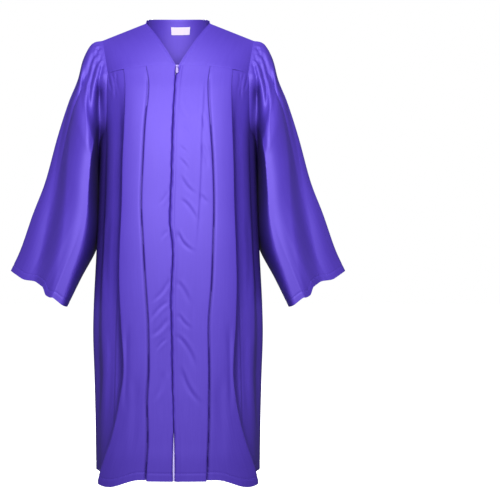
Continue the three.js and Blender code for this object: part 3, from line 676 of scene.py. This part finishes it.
def shoulder_points(side, share, y):
    return points(side * mix(NECK_HALF, SHOULDER_HALF, share), y, mix(NECK_RISE, -SHOULDER_DROP, share))


def front_yoke_grid(side):
    across = np.linspace(0, 1, YOKE_COLUMNS + 1) ** CLOSER
    down = np.linspace(0, 1, YOKE_ROWS + 1)[:, None, None]
    start = side * ZIP["x"][0] + ZIP["gap"][0] / 2
    total = quarter(YOKE_DROP_ARMHOLE, FRONT)[3][-1]
    end = edge_arc(total, YOKE_DROP_ARMHOLE, YOKE_DROP_ARMHOLE, ARMHOLE_FRONT)
    arc = mix(start, end, across)
    out = pleat_level(YOKE_DROP_CENTRE) * (1 - across)
    bottom = body_points(arc, out, yoke_drop(arc), FRONT)
    bottom[..., 0] *= side
    top = shoulder_points(side, across, 0)
    return bent(top, bottom, FRONT_YOKE_BEND, down)


# Points of the back yoke: across from -1 to 1, down from 0 at the neck and shoulders to 1.
def back_yoke_points(across, down):
    across, down = np.broadcast_arrays(np.asarray(across, float), np.asarray(down, float))
    side = np.where(across < 0, -1, 1)
    reach = np.abs(across)
    neck = np.clip(1 - reach / BACK_NECK_SHARE, 0, 1)
    turn = neck * math.pi / 2
    shoulder = np.clip((reach - BACK_NECK_SHARE) / (1 - BACK_NECK_SHARE), 0, 1)
    rise = (BACK_NECK_RISE - NECK_RISE) * np.sqrt(np.sin(turn))
    top = shoulder_points(side, shoulder, 0)
    top[..., 0] = np.where(neck > 0, side * NECK_HALF * np.cos(turn), top[..., 0])
    top[..., 1] += BACK_NECK_DEPTH * np.sin(turn)
    top[..., 2] += rise
    total = quarter(BACK_YOKE_DROP, BACK)[3][-1]
    end = edge_arc(total, BACK_YOKE_DROP, BACK_YOKE_DROP, ARMHOLE_BACK)
    bottom = body_points(across * end, 0, BACK_YOKE_DROP, BACK)
    shares = mix(np.array(BACK_YOKE_BEND), np.array(BACK_NECK_BEND), ease(neck)[..., None])
    return bent(top, bottom, shares, down[..., None], rise)


# The yoke is smoothed along its rows, most half way down, so that no ridge runs from the neck's corners.
def back_yoke_grid():
    across = np.linspace(-1, 1, BACK_YOKE_COLUMNS + 1)
    down = np.linspace(0, 1, YOKE_ROWS + 1)
    grid = back_yoke_points(across[None, :], down[:, None])
    share = np.sin(math.pi * down)[:, None, None]
    for _ in range(BACK_YOKE_SMOOTHINGS):
        grid[:, 1:-1] = mix(grid[:, 1:-1], (grid[:, :-2] + grid[:, 2:]) / 2, share / 2)
    return grid


# Points spaced evenly along a line of points, without its last one.
def resampled(line, count):
    lengths = np.concatenate([[0], np.cumsum(np.linalg.norm(np.diff(line, axis=0), axis=1))])
    places = np.arange(count) / count * lengths[-1]
    return np.stack([np.interp(places, lengths, line[:, axis]) for axis in range(3)], -1)


# The stretch of an edge above the underarm.
def above_underarm(edge):
    return edge[: np.argmax(edge[:, 2] < -UNDERARM_DROP) + 1]


# Armhole edge from the shoulder seam down the front, under the arm and up the back.
def armhole_loop(yoke_edge, front_edge, back_edge, back_yoke_edge):
    gathered = GATHERS * GATHER_STEPS
    return np.concatenate([
        resampled(yoke_edge, gathered),
        resampled(above_underarm(front_edge), ARMHOLE_STEPS),
        resampled(above_underarm(back_edge)[::-1], ARMHOLE_STEPS),
        resampled(back_yoke_edge[::-1], gathered),
    ])


# Rise of the gathers at the sleeve head, for each row share and column of the loop.
def gather_rise(share):
    step = np.arange(GATHERS * GATHER_STEPS)
    hill = 0.5 + 0.5 * np.cos(2 * math.pi * step / GATHER_STEPS)
    wave = 2 * hill ** GATHER_POWER - 1
    rise = wave * np.repeat(GATHER_RISES, GATHER_STEPS)
    end = np.repeat(GATHER_ENDS, GATHER_STEPS)
    plain = np.zeros(2 * ARMHOLE_STEPS)
    rises = np.concatenate([rise, plain, rise[::-1]])
    ends = np.concatenate([end, plain + 1, end[::-1]])
    fallen = ease((share - GATHER_FULL) / (ends - GATHER_FULL))
    return rises * ease(share / GATHER_FULL) * (1 - fallen)


# How far forward or back the sleeve stands, as a share of its depth. Its front half slopes out from the
# outer edge.
def sleeve_out(share, angle, under):
    quarter_under = mix(0.5, 1 - math.cos(math.pi / 4), SLEEVE_POINT)
    sloping = ease(share / OUTER_SLOPE_FROM) * (1 - between(np.degrees(angle), OUTER_SLOPE_END))
    slope = OUTER_CURVE * (1 - np.exp(-under / quarter_under / OUTER_CURVE))
    slope = slope + OUTER_ROUND * np.maximum(np.sin(2 * angle), 0)
    return mix(np.sin(angle), slope, np.where(np.sin(angle) > 0, sloping, 0))


# Plain points of the sleeve: share of the way down, and angle from the outer edge round the front.
def sleeve_base(side, share, angle):
    share, angle = np.broadcast_arrays(np.asarray(share, float), np.asarray(angle, float))
    value = {name: along(SLEEVE, name, share) for name in SLEEVE}
    rounded = (1 - np.cos(angle)) / 2
    pointed = 1 - np.abs(np.cos(angle / 2))
    under = mix(rounded, pointed, SLEEVE_POINT)
    out = sleeve_out(share, angle, under)
    degrees = np.degrees(angle)
    opened = ease((share - FOLD_OPEN_START) / (FOLD_OPEN_END - FOLD_OPEN_START))
    under = under - UNDERCUT * opened * bump((degrees - UNDERCUT_PLACE) / UNDERCUT_REACH)
    past_outer = degrees - mix(*FOLD_OUTER, share)
    before_inner = mix(*FOLD_INNER, share) - degrees
    folded = ease(past_outer / (2 * FOLD_OUTER_REACH) + 0.5)
    folded = folded * ease(before_inner / (2 * FOLD_INNER_REACH) + 0.5)
    folded = folded * opened * ease(degrees / FOLD_EDGE)
    depth = np.where(np.sin(angle) > 0, value["front"], value["back"])
    rounded_to = FOLD_ROUND_END * FOLD_ROUND_REACH
    past_ridge = np.clip(before_inner - FOLD_RIDGE, 0, rounded_to) / FOLD_ROUND_REACH
    fold = FOLD_ROUND * past_ridge ** 2 - value["fold"]
    return points(
        side * mix(value["out_x"], value["in_x"], under),
        mix(value["lean"] * under - depth * out, fold, folded),
        -mix(value["out_drop"], value["in_drop"], under),
    )


# Lift of the cuff's step.
def cuff_step(share, degrees):
    lifted = between(degrees, CUFF_STEP_RISE) * (1 - between(degrees, CUFF_STEP_FALL))
    return CUFF_STEP * between(share, (CUFF_STEP_FROM, 1)) * lifted


# Rise and lift of the sleeve's long folds.
def sleeve_folds(share, angle):
    degrees = np.degrees(angle)
    total = np.zeros((2,) + np.broadcast(share, angle).shape)
    for start_angle, end_angle, reach, rise, lift, start in SLEEVE_FOLDS:
        place = mix(start_angle, end_angle, share)
        grown = ease((share - start) / (1 - start)) * bump((degrees - place) / reach)
        total += np.array([rise, lift])[:, None, None] * grown
    total[1] += cuff_step(share, degrees)
    return total


# Angles of the armhole edge's points, by their run from the shoulder to the underarm and back.
def loop_angles(loop):
    count = len(loop)
    lengths = np.linalg.norm(np.roll(loop, -1, 0) - loop, axis=1)
    run = np.concatenate([[0], np.cumsum(lengths)])
    lowest = int(np.argmin(loop[:, 2]))
    return np.where(
        np.arange(count) <= lowest,
        math.pi * run[:count] / run[lowest],
        math.pi + math.pi * (run[:count] - run[lowest]) / (run[count] - run[lowest]),
    )


# Row shares down a sleeve, closer together at the head and in the cuff.
def sleeve_rows():
    return np.concatenate([
        np.linspace(0, 1, SLEEVE_ROWS) ** CLOSER_SLEEVE * CUFF_FROM,
        np.linspace(CUFF_FROM, 1, CUFF_ROWS)[1:],
    ])


def sleeve_grid(side, loop):
    head = loop_angles(loop)
    even = 2 * math.pi * np.arange(len(loop)) / len(loop)
    share = sleeve_rows()[:, None]
    angle = mix(head, even, ease(share / EVEN_STEPS_FROM))
    seat = loop - sleeve_base(side, 0, head)
    top = np.abs(np.cos(head / 2)) ** SLEEVE_TOP_POWER
    seat[:, 0] += side * mix(SLEEVE_SET, SLEEVE_TOP_SET, top)
    seat = seat[None] * (1 - ease(share / SEAT_END))[..., None]
    seat[..., 0] *= 1 - ease(share / SEAT_END_SIDEWAYS)
    grid = sleeve_base(side, share, angle) + seat
    outer = sleeve_base(side, share, 0)
    under = sleeve_base(side, share, math.pi)
    rise, lift = sleeve_folds(share, angle)
    gathers = crease_rise(np.abs(grid[..., 0]), -grid[..., 2], CREASES_SLEEVE)
    rise = rise + gather_rise(share) + gathers * ease(share / GATHER_FULL)
    grid = grid + unit(grid - (outer + under) / 2) * rise[..., None]
    grid[..., 2] += lift
    return grid


# Normals of a grid from its neighbours along the rows and columns.
def grid_normals(grid, ring=False):
    down = np.gradient(grid, axis=0)
    across = (np.roll(grid, -1, 1) - np.roll(grid, 1, 1)) / 2 if ring else np.gradient(grid, axis=1)
    return unit(np.cross(down, across))


# Lengths along the columns and rows of a grid, as flat cloth coordinates in metres.
def flat_lengths(grid):
    across = np.linalg.norm(np.diff(grid, axis=1), axis=-1).mean(0)
    down = np.linalg.norm(np.diff(grid, axis=0), axis=-1).mean(1)
    u = np.concatenate([[0], np.cumsum(across)])
    v = np.concatenate([[0], np.cumsum(down)])
    return np.stack(np.broadcast_arrays(u[None, :], v[:, None]), -1) * MM


# Lengths along the rows of a grid, from its first column.
def lengths_in(grid):
    steps = np.linalg.norm(np.diff(grid, axis=1), axis=-1)
    return np.concatenate([np.zeros((len(grid), 1)), np.cumsum(steps, 1)], 1)


# Normals of a grid, all turned to the side that a direction gives.
def facing_normals(grid, direction, ring=False):
    normals = grid_normals(grid, ring)
    return normals * np.sign((normals * direction).sum())


# Views of a grid turned so that its last row, its first row or its first column comes first.
def from_foot(grid):
    return np.swapaxes(grid, 0, 1)[:, ::-1]


def from_head(grid):
    return np.swapaxes(grid, 0, 1)


def as_it_lies(grid):
    return grid


# Line at a distance in from the first column of a grid, on its outer face, with the normals there.
def line_inside(grid, normals, distance):
    values = np.concatenate([grid + normals * CLOTH / 2, normals], -1)
    pairs = zip(lengths_in(grid), values)
    return np.array([[np.interp(distance, reach, column) for column in row.T] for reach, row in pairs])


# Depth of the grooves that rows of stitching draw, and of the dip into a seam, from the first column.
def sewn_depth(grid, rows=(), dip=0):
    distance = lengths_in(grid)
    depth = dip * np.clip(1 - distance / SEAM_DIP_REACH, 0, 1) ** 2
    for row in rows:
        depth = depth + GROOVE_DEPTH * np.exp(-((distance - row) / GROOVE_WIDTH) ** 2)
    return depth


def new_object(name, mesh):
    thing = bpy.data.objects.new(name, mesh)
    bpy.context.scene.collection.objects.link(thing)
    return thing


# Mesh of quads from arrays of points, faces and flat coordinates, turned outward.
def quad_mesh(name, corners, faces, flat):
    a, b, c, d = (corners[faces[:, i]] for i in range(4))
    volume = np.einsum("ij,ij->", a, np.cross(b, c)) + np.einsum("ij,ij->", a, np.cross(c, d))
    if volume < 0:
        faces = faces[:, ::-1]
    mesh = bpy.data.meshes.new(name)
    mesh.vertices.add(len(corners))
    mesh.vertices.foreach_set("co", (corners * MM).astype(np.float32).ravel())
    mesh.loops.add(faces.size)
    mesh.loops.foreach_set("vertex_index", faces.astype(np.int32).ravel())
    mesh.polygons.add(len(faces))
    mesh.polygons.foreach_set("loop_start", np.arange(0, faces.size, 4, dtype=np.int32))
    mesh.uv_layers.new(name="cloth")
    mesh.uv_layers[0].data.foreach_set("uv", flat[faces.ravel()].astype(np.float32).ravel())
    mesh.update(calc_edges=True)
    mesh.validate()
    mesh.polygons.foreach_set("use_smooth", np.ones(len(faces), bool))
    mesh.set_sharp_from_angle(angle=math.radians(CLOTH_SHARP_ANGLE))
    return mesh


# Closed thin shell round a grid of points, half its thickness to each side.
def shell(name, grid, thickness, ring=False):
    rows, columns = grid.shape[:2]
    normals = grid_normals(grid, ring)
    corners = np.concatenate([(grid + sign * normals * thickness / 2).reshape(-1, 3) for sign in (1, -1)])
    closed = np.concatenate([grid, grid[:, :1]], 1) if ring else grid
    flat = flat_lengths(closed)[:, :columns].reshape(-1, 2)
    number = np.arange(rows * columns).reshape(rows, columns)
    if ring:
        number = np.concatenate([number, number[:, :1]], 1)
    other = number + rows * columns

    def strip(first, second):
        return np.stack([first[:-1], second[:-1], second[1:], first[1:]], -1).reshape(-1, 4)

    outer = np.stack([number[:-1, :-1], number[1:, :-1], number[1:, 1:], number[:-1, 1:]], -1).reshape(-1, 4)
    inner = np.stack([other[:-1, :-1], other[:-1, 1:], other[1:, 1:], other[1:, :-1]], -1).reshape(-1, 4)
    faces = [outer, inner, strip(other[0], number[0]), strip(number[-1], other[-1])]
    if not ring:
        faces += [strip(number[:, 0], other[:, 0]), strip(other[:, -1], number[:, -1])]
    mesh = quad_mesh(name, corners, np.concatenate(faces), np.concatenate([flat, flat]))
    return new_object(name, mesh)


# Corners of the stitches along one line of points with normals: rings of corners round each thread.
def stitch_corners(line):
    lengths = lengths_in(line[None, :, :3])[0]
    places = np.arange(STITCH_PITCH / 2, lengths[-1], STITCH_PITCH)

    def at(offset, columns):
        return np.stack([np.interp(places + offset, lengths, line[:, i]) for i in columns], -1)

    centre = at(0, range(3))
    normal = unit(at(0, range(3, 6)))
    tangent = unit(at(STITCH_LENGTH / 2, range(3)) - at(-STITCH_LENGTH / 2, range(3)))
    across = unit(np.cross(tangent, normal))
    corners = [
        centre + tangent * place * STITCH_LENGTH / 2
        + (across * math.cos(turn) + normal * math.sin(turn)) * radius * STITCH_RADIUS
        for place, radius in STITCH_RINGS
        for turn in STITCH_TURNS
    ]
    return np.stack(corners, 1).reshape(-1, 3)


# Faces of one stitch: its two ends, and the bands between its rings.
def stitch_faces():
    steps = len(STITCH_TURNS)
    bands = len(STITCH_RINGS) - 1
    faces = [list(range(steps))[::-1], [bands * steps + k for k in range(steps)]]
    for band in range(bands):
        for k in range(steps):
            a = band * steps + k
            b = band * steps + (k + 1) % steps
            faces.append([a, b, b + steps, a + steps])
    return np.array(faces)


# Rows of stitches as one mesh of small rounded threads, along lines of points with normals.
def stitch_rows(name, lines):
    corners = np.concatenate([stitch_corners(line) for line in lines])
    starts = np.arange(0, len(corners), len(STITCH_RINGS) * len(STITCH_TURNS))
    faces = (starts[:, None, None] + stitch_faces()).reshape(-1, 4)
    return new_object(name, quad_mesh(name, corners, faces, np.zeros((len(corners), 2))))


# Level of the zip tape behind the rolled edges of the cloth.
def tape_level(drop):
    return pleat_level(drop) - CLOTH / 2 - SEAM_GAP - TAPE / 2 - zip_roll(drop)


def tape_grid(side):
    drop = np.linspace(YOKE_DROP_CENTRE, HEM_DROP, TAPE_ROWS)[:, None]
    across = np.array([SEAM_GAP / 2, TAPE_WIDTH / 2, TAPE_WIDTH])
    grid = body_points(side * along(ZIP, "x", drop) + across, tape_level(drop), drop, FRONT)
    grid[..., 0] *= side
    return grid


# Coil of the zip: a small block for each tooth along the tape's inner edge, the two sides in turn.
def zip_teeth(name, side):
    first = YOKE_DROP_CENTRE + TOOTH_PITCH * (0.25 if side > 0 else 0.75)
    drop = np.arange(first, HEM_DROP - TOOTH_PITCH, TOOTH_PITCH)
    centre = body_points(side * along(ZIP, "x", drop) + TOOTH[0] / 2, tape_level(drop), drop, FRONT)
    centre[:, 0] *= side
    block = np.array([(x, y, z) for z in (-1, 1) for y in (-1, 1) for x in (-1, 1)]) / 2
    width, height, depth = TOOTH
    corners = (centre[:, None] + block * (width, depth, height)).reshape(-1, 3)
    one = np.array([(0, 2, 3, 1), (4, 5, 7, 6), (0, 1, 5, 4), (2, 6, 7, 3), (0, 4, 6, 2), (1, 3, 7, 5)])
    faces = (np.arange(0, len(corners), 8)[:, None, None] + one).reshape(-1, 4)
    return new_object(name, quad_mesh(name, corners, faces, np.zeros((len(corners), 2))))


# Label: a patch of the back yoke's own points, moved in from the cloth.
def label_grid(yoke):
    inward = facing_normals(yoke, (0, -1, -1)) * (CLOTH / 2 + SEAM_GAP + LABEL / 2)
    return (yoke + inward)[LABEL_DOWN, LABEL_ACROSS]


# Copy of a hard solid with its edges rounded.
def rounded_copy(name, node):
    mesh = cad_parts[node].data.copy()
    mesh.name = name
    shape = bmesh.new()
    shape.from_mesh(mesh)
    bmesh.ops.remove_doubles(shape, verts=shape.verts, dist=WELD * MM)
    flat = math.radians(FLAT_ANGLE)
    bmesh.ops.dissolve_limit(shape, angle_limit=flat, verts=shape.verts, edges=shape.edges)
    sharp = [edge for edge in shape.edges if edge.calc_face_angle(0) > math.radians(SHARP_ANGLE)]
    bmesh.ops.bevel(
        shape, geom=sharp, offset=ROUNDING * MM, offset_type="OFFSET", segments=ROUNDING_STEPS,
        profile=0.5, affect="EDGES", clamp_overlap=True,
    )
    bmesh.ops.triangulate(shape, faces=shape.faces)
    shape.to_mesh(mesh)
    shape.free()
    mesh.polygons.foreach_set("use_smooth", np.ones(len(mesh.polygons), bool))
    mesh.set_sharp_from_angle(angle=math.radians(SHARP_ANGLE))
    return new_object(name, mesh)


# Materials
def new_material(name):
    material = bpy.data.materials.new(name)
    material.use_nodes = True
    nodes = material.node_tree.nodes
    return material, nodes, material.node_tree.links, nodes["Principled BSDF"]


def srgb(red, green, blue):
    linear = [(c / 255 / 12.92 if c < 10 else ((c / 255 + 0.055) / 1.055) ** 2.4) for c in (red, green, blue)]
    return (*linear, 1)


SHEEN_TINT = srgb(190, 170, 255)
GLOSS_TINT = srgb(171, 151, 255)


def set_values(node, values):
    for name, value in values.items():
        node.inputs[name].default_value = value


# New node with its settings, and values on its inputs.
def add_node(nodes, kind, values, **settings):
    node = nodes.new(kind)
    for name, value in settings.items():
        setattr(node, name, value)
    set_values(node, values)
    return node


# Streaks of noise along the threads of the cloth.
def cloth_streaks(nodes, links, place):
    stretch = add_node(nodes, "ShaderNodeMapping", {"Scale": STREAK_STRETCH})
    streaks = add_node(nodes, "ShaderNodeTexNoise", {"Scale": 1, "Detail": STREAK_DETAIL})
    links.new(place, stretch.inputs["Vector"])
    links.new(stretch.outputs["Vector"], streaks.inputs["Vector"])
    return streaks.outputs["Fac"]


# Colour between dark and light, by the streaks and by broad clouds.
def cloth_colour(nodes, links, place, streaks, light, dark):
    cloud = add_node(nodes, "ShaderNodeTexNoise", {"Scale": CLOUD_SCALE, "Detail": CLOUD_DETAIL})
    both = add_node(nodes, "ShaderNodeMath", {}, operation="ADD")
    shades = add_node(nodes, "ShaderNodeMapRange", {"From Min": SHADES[0], "From Max": SHADES[1]})
    colour = add_node(nodes, "ShaderNodeMix", {"A": dark, "B": light}, data_type="RGBA")
    links.new(place, cloud.inputs["Vector"])
    links.new(streaks, both.inputs[0])
    links.new(cloud.outputs["Fac"], both.inputs[1])
    links.new(both.outputs[0], shades.inputs["Value"])
    links.new(shades.outputs["Result"], colour.inputs["Factor"])
    return colour.outputs["Result"]


# Painted shade: the share of colour and gloss left in a hollow, by how much open sky a point sees.
def painted_hollow_shade(nodes, links):
    reach = {"Distance": HOLLOW_REACH * MM}
    sky = add_node(nodes, "ShaderNodeAmbientOcclusion", reach, samples=HOLLOW_SAMPLES)
    left = add_node(nodes, "ShaderNodeMapRange", {
        "From Min": HOLLOW_DEEP,
        "From Max": HOLLOW_OPEN,
        "To Min": PAINTED_SHADE_DEEPEST,
    })
    links.new(sky.outputs["AO"], left.inputs["Value"])
    return left.outputs["Result"]


# Colour with painted shade in the hollows.
def with_painted_shade(nodes, links, colour, painted_shade):
    shaded = add_node(nodes, "ShaderNodeMix", {"Factor": 1}, data_type="RGBA", blend_type="MULTIPLY")
    links.new(colour, shaded.inputs["A"])
    links.new(painted_shade, shaded.inputs["B"])
    return shaded.outputs["Result"]


# Bump of the threads that cross in the cloth.
def weave_bump(nodes, links, place, thread, weave):
    crossing = add_node(nodes, "ShaderNodeMath", {}, operation="MULTIPLY")
    for i, direction in enumerate(("X", "Y")):
        wave = add_node(nodes, "ShaderNodeTexWave", {
            "Scale": WAVE_PERIOD / (thread * MM),
            "Distortion": THREAD_WAVER,
        }, bands_direction=direction)
        links.new(place, wave.inputs["Vector"])
        links.new(wave.outputs["Fac"], crossing.inputs[i])
    relief = add_node(nodes, "ShaderNodeBump", {
        "Strength": weave,
        "Distance": thread * MM * THREAD_HEIGHT,
    })
    links.new(crossing.outputs[0], relief.inputs["Height"])
    return relief.outputs["Normal"]


# Roughness that wavers by a noise to both sides of a mean.
def wavering_gloss(nodes, links, noise, roughness, waver, shader):
    gloss = add_node(nodes, "ShaderNodeMapRange", {"To Min": roughness - waver, "To Max": roughness + waver})
    links.new(noise, gloss.inputs["Value"])
    links.new(gloss.outputs["Result"], shader.inputs["Roughness"])


# Woven cloth: colour and gloss waver softly, deep hollows get painted shade in colour and gloss, and fine
# threads cross in its bump.
def woven(name, light, dark, thread, roughness, sheen, weave):
    material, nodes, links, shader = new_material(name)
    place = add_node(nodes, "ShaderNodeUVMap", {}, uv_map="cloth").outputs["UV"]
    streaks = cloth_streaks(nodes, links, place)
    colour = cloth_colour(nodes, links, place, streaks, light, dark)
    painted_shade = painted_hollow_shade(nodes, links)
    # Painted shade: the colour and the specular level are darkened in deep hollows.
    links.new(with_painted_shade(nodes, links, colour, painted_shade), shader.inputs["Base Color"])
    links.new(painted_shade, shader.inputs["Specular IOR Level"])
    wavering_gloss(nodes, links, streaks, roughness, CLOTH_GLOSS_WAVER, shader)
    links.new(weave_bump(nodes, links, place, thread, weave), shader.inputs["Normal"])
    set_values(shader, {"Sheen Weight": sheen, "Sheen Roughness": SHEEN_ROUGHNESS})
    set_values(shader, {"Sheen Tint": SHEEN_TINT, "Specular Tint": GLOSS_TINT})
    return material


gown_cloth = woven("gown_cloth", srgb(74, 54, 164), srgb(68, 48, 156), 0.5, 0.5, 0.03, 0.12)
tape_cloth = woven("tape_cloth", srgb(150, 132, 230), srgb(138, 120, 222), 0.8, 0.7, 0.1, 0.3)
label_cloth = woven("label_cloth", srgb(204, 195, 209), srgb(196, 187, 202), 0.4, 0.7, 0.03, 0.2)


# Smooth thread, coil or paint, whose gloss wavers a little.
def coated(name, colour, roughness, grain):
    material, nodes, links, shader = new_material(name)
    shader.inputs["Base Color"].default_value = colour
    mottle = add_node(nodes, "ShaderNodeTexNoise", {"Scale": grain})
    wavering_gloss(nodes, links, mottle.outputs["Fac"], roughness, COATED_GLOSS_WAVER, shader)
    return material


thread = coated("thread", srgb(98, 76, 205), 0.5, 900)
coil = coated("zip_coil", srgb(214, 204, 250), 0.45, 900)
paint = coated("zip_paint", srgb(138, 121, 188), 0.42, 500)


def dress(piece, material, body="gown"):
    piece.data.materials.clear()
    piece.data.materials.append(material)
    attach(piece, body)
    return piece


# Cloth pieces: grids, whether they close on themselves, and the lines of stitching on them
cloth = {}
seams = {}


# Keep a piece's grid, pressed in along its sewn edges, with the stitching on its outer face. Each edge is
# a way of turning the grid to start from it, its rows of stitching, the dip of a seam, and the stretches
# of it that are stitched.
def sew(name, grid, direction, edges, ring=False):
    normals = facing_normals(grid, direction, ring)
    for turned, rows, dip, _ in edges:
        turned(grid)[...] -= turned(normals) * sewn_depth(turned(grid), rows, dip)[..., None]
    seams[name] = [
        line_inside(turned(grid)[stretch], turned(normals)[stretch], row)
        for turned, rows, _, stretches in edges
        for row in rows
        for stretch in stretches
    ]
    cloth[name] = (grid, ring)


WHOLE = [slice(None)]
back = back_grid()
back_yoke = back_yoke_grid()
part, _ = front_columns()
open_parts = [np.flatnonzero(part == i) for i in (PLACKET, SIDE_FRONT, SIDE)]
for side, name in ((1, "left"), (-1, "right")):
    front = front_grid(side)
    yoke = front_yoke_grid(side)
    last = -1 if side > 0 else 0
    loop = armhole_loop(yoke[:, -1], front[:, -1], back[:, last], back_yoke[:, last])
    sleeve = sleeve_grid(side, loop)
    closed = [np.r_[0:sleeve.shape[1], 0]]
    sew("front_" + name, front, (0, -1, 0), [
        (from_head, (), SEAM_DIP, []),
        (from_foot, [HEM_ROW], 0, open_parts),
    ])
    sew("yoke_front_" + name, yoke, (0, -1, 1), [
        (as_it_lies, NECK_ROWS, 0, WHOLE),
        (from_foot, [SEAM_ROW], SEAM_DIP, WHOLE),
    ])
    sew("sleeve_" + name, sleeve, sleeve - sleeve.mean(1, keepdims=True), [
        (from_foot, [CUFF_ROW], 0, closed),
    ], ring=True)
sew("back", back, (0, 1, 0), [
    (from_head, (), SEAM_DIP, []),
    (from_foot, [HEM_ROW], 0, WHOLE),
])
sew("yoke_back", back_yoke, (0, 1, 1), [
    (from_head, NECK_ROWS[:1], 0, WHOLE),
    (from_foot, [SEAM_ROW], SEAM_DIP, WHOLE),
])

# Each cloth piece as a thin shell of the gown's cloth with its stitching, in place of its solid
for name, (grid, ring) in cloth.items():
    piece = dress(shell("cloth_" + name, grid, CLOTH, ring), gown_cloth)
    stitches = dress(stitch_rows("stitches_" + name, seams[name]), thread)
    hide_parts(name)

# Zip and label
for side, name in ((1, "left"), (-1, "right")):
    tape = dress(shell("zip_cloth_" + name, tape_grid(side), TAPE), tape_cloth)
    teeth = dress(zip_teeth("zip_coil_" + name, side), coil)
    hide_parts("zip_tape_" + name)

label = dress(shell("neck_label", label_grid(back_yoke), LABEL), label_cloth)
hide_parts("label")

for node, body in (("zip_slider", "gown"), ("zip_pull", "pull_tab")):
    metal = dress(rounded_copy("rounded_" + node, node), paint, body)
    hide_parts(node)

# Stage, light and camera
floor = new_object("floor", bpy.data.meshes.new("floor"))
sheet = bmesh.new()
bmesh.ops.create_grid(sheet, x_segments=1, y_segments=1, size=FLOOR_SIZE * MM / 2)
sheet.to_mesh(floor.data)
sheet.free()
floor.location.z = -FLOOR_DROP * MM
pale, _, _, shader = new_material("pale_floor")
set_values(shader, {"Base Color": FLOOR_COLOUR, "Roughness": FLOOR_ROUGHNESS})
set_values(shader, {"Emission Color": WHITE, "Emission Strength": 1})
floor.data.materials.append(pale)
floor.visible_diffuse = False
floor.visible_glossy = False

world = bpy.data.worlds.new("studio")
bpy.context.scene.world = world
world.use_nodes = True
nodes = world.node_tree.nodes
links = world.node_tree.links
seen = nodes.new("ShaderNodeLightPath")
ambient = nodes["Background"]
set_values(ambient, {"Color": WHITE, "Strength": AMBIENT})
backdrop = add_node(nodes, "ShaderNodeBackground", {"Color": WHITE, "Strength": 1})
choice = nodes.new("ShaderNodeMixShader")
links.new(seen.outputs["Is Camera Ray"], choice.inputs["Fac"])
links.new(ambient.outputs["Background"], choice.inputs[1])
links.new(backdrop.outputs["Background"], choice.inputs[2])
links.new(choice.outputs["Shader"], nodes["World Output"].inputs["Surface"])


def area_light(name, place, target, size, power):
    light = bpy.data.lights.new(name, "AREA")
    light.shape = "SQUARE"
    light.size = size
    light.energy = power
    lamp = new_object(name, light)
    lamp.location = place
    lamp.rotation_euler = (Vector(target) - Vector(place)).to_track_quat("-Z", "Y").to_euler()


for lamp in LAMPS:
    area_light(*lamp)

lens = bpy.data.cameras.new("camera")
lens.sensor_width = SENSOR
lens.lens = SENSOR * CAMERA_AWAY / FRAME_WIDTH
lens.shift_x = FRAME_SHIFT
camera = new_object("camera", lens)
camera.location = (0, -CAMERA_AWAY * MM, -CAMERA_DROP * MM)
camera.rotation_euler = (math.pi / 2, 0, 0)
bpy.context.scene.camera = camera
bpy.context.scene.view_settings.view_transform = "Standard"
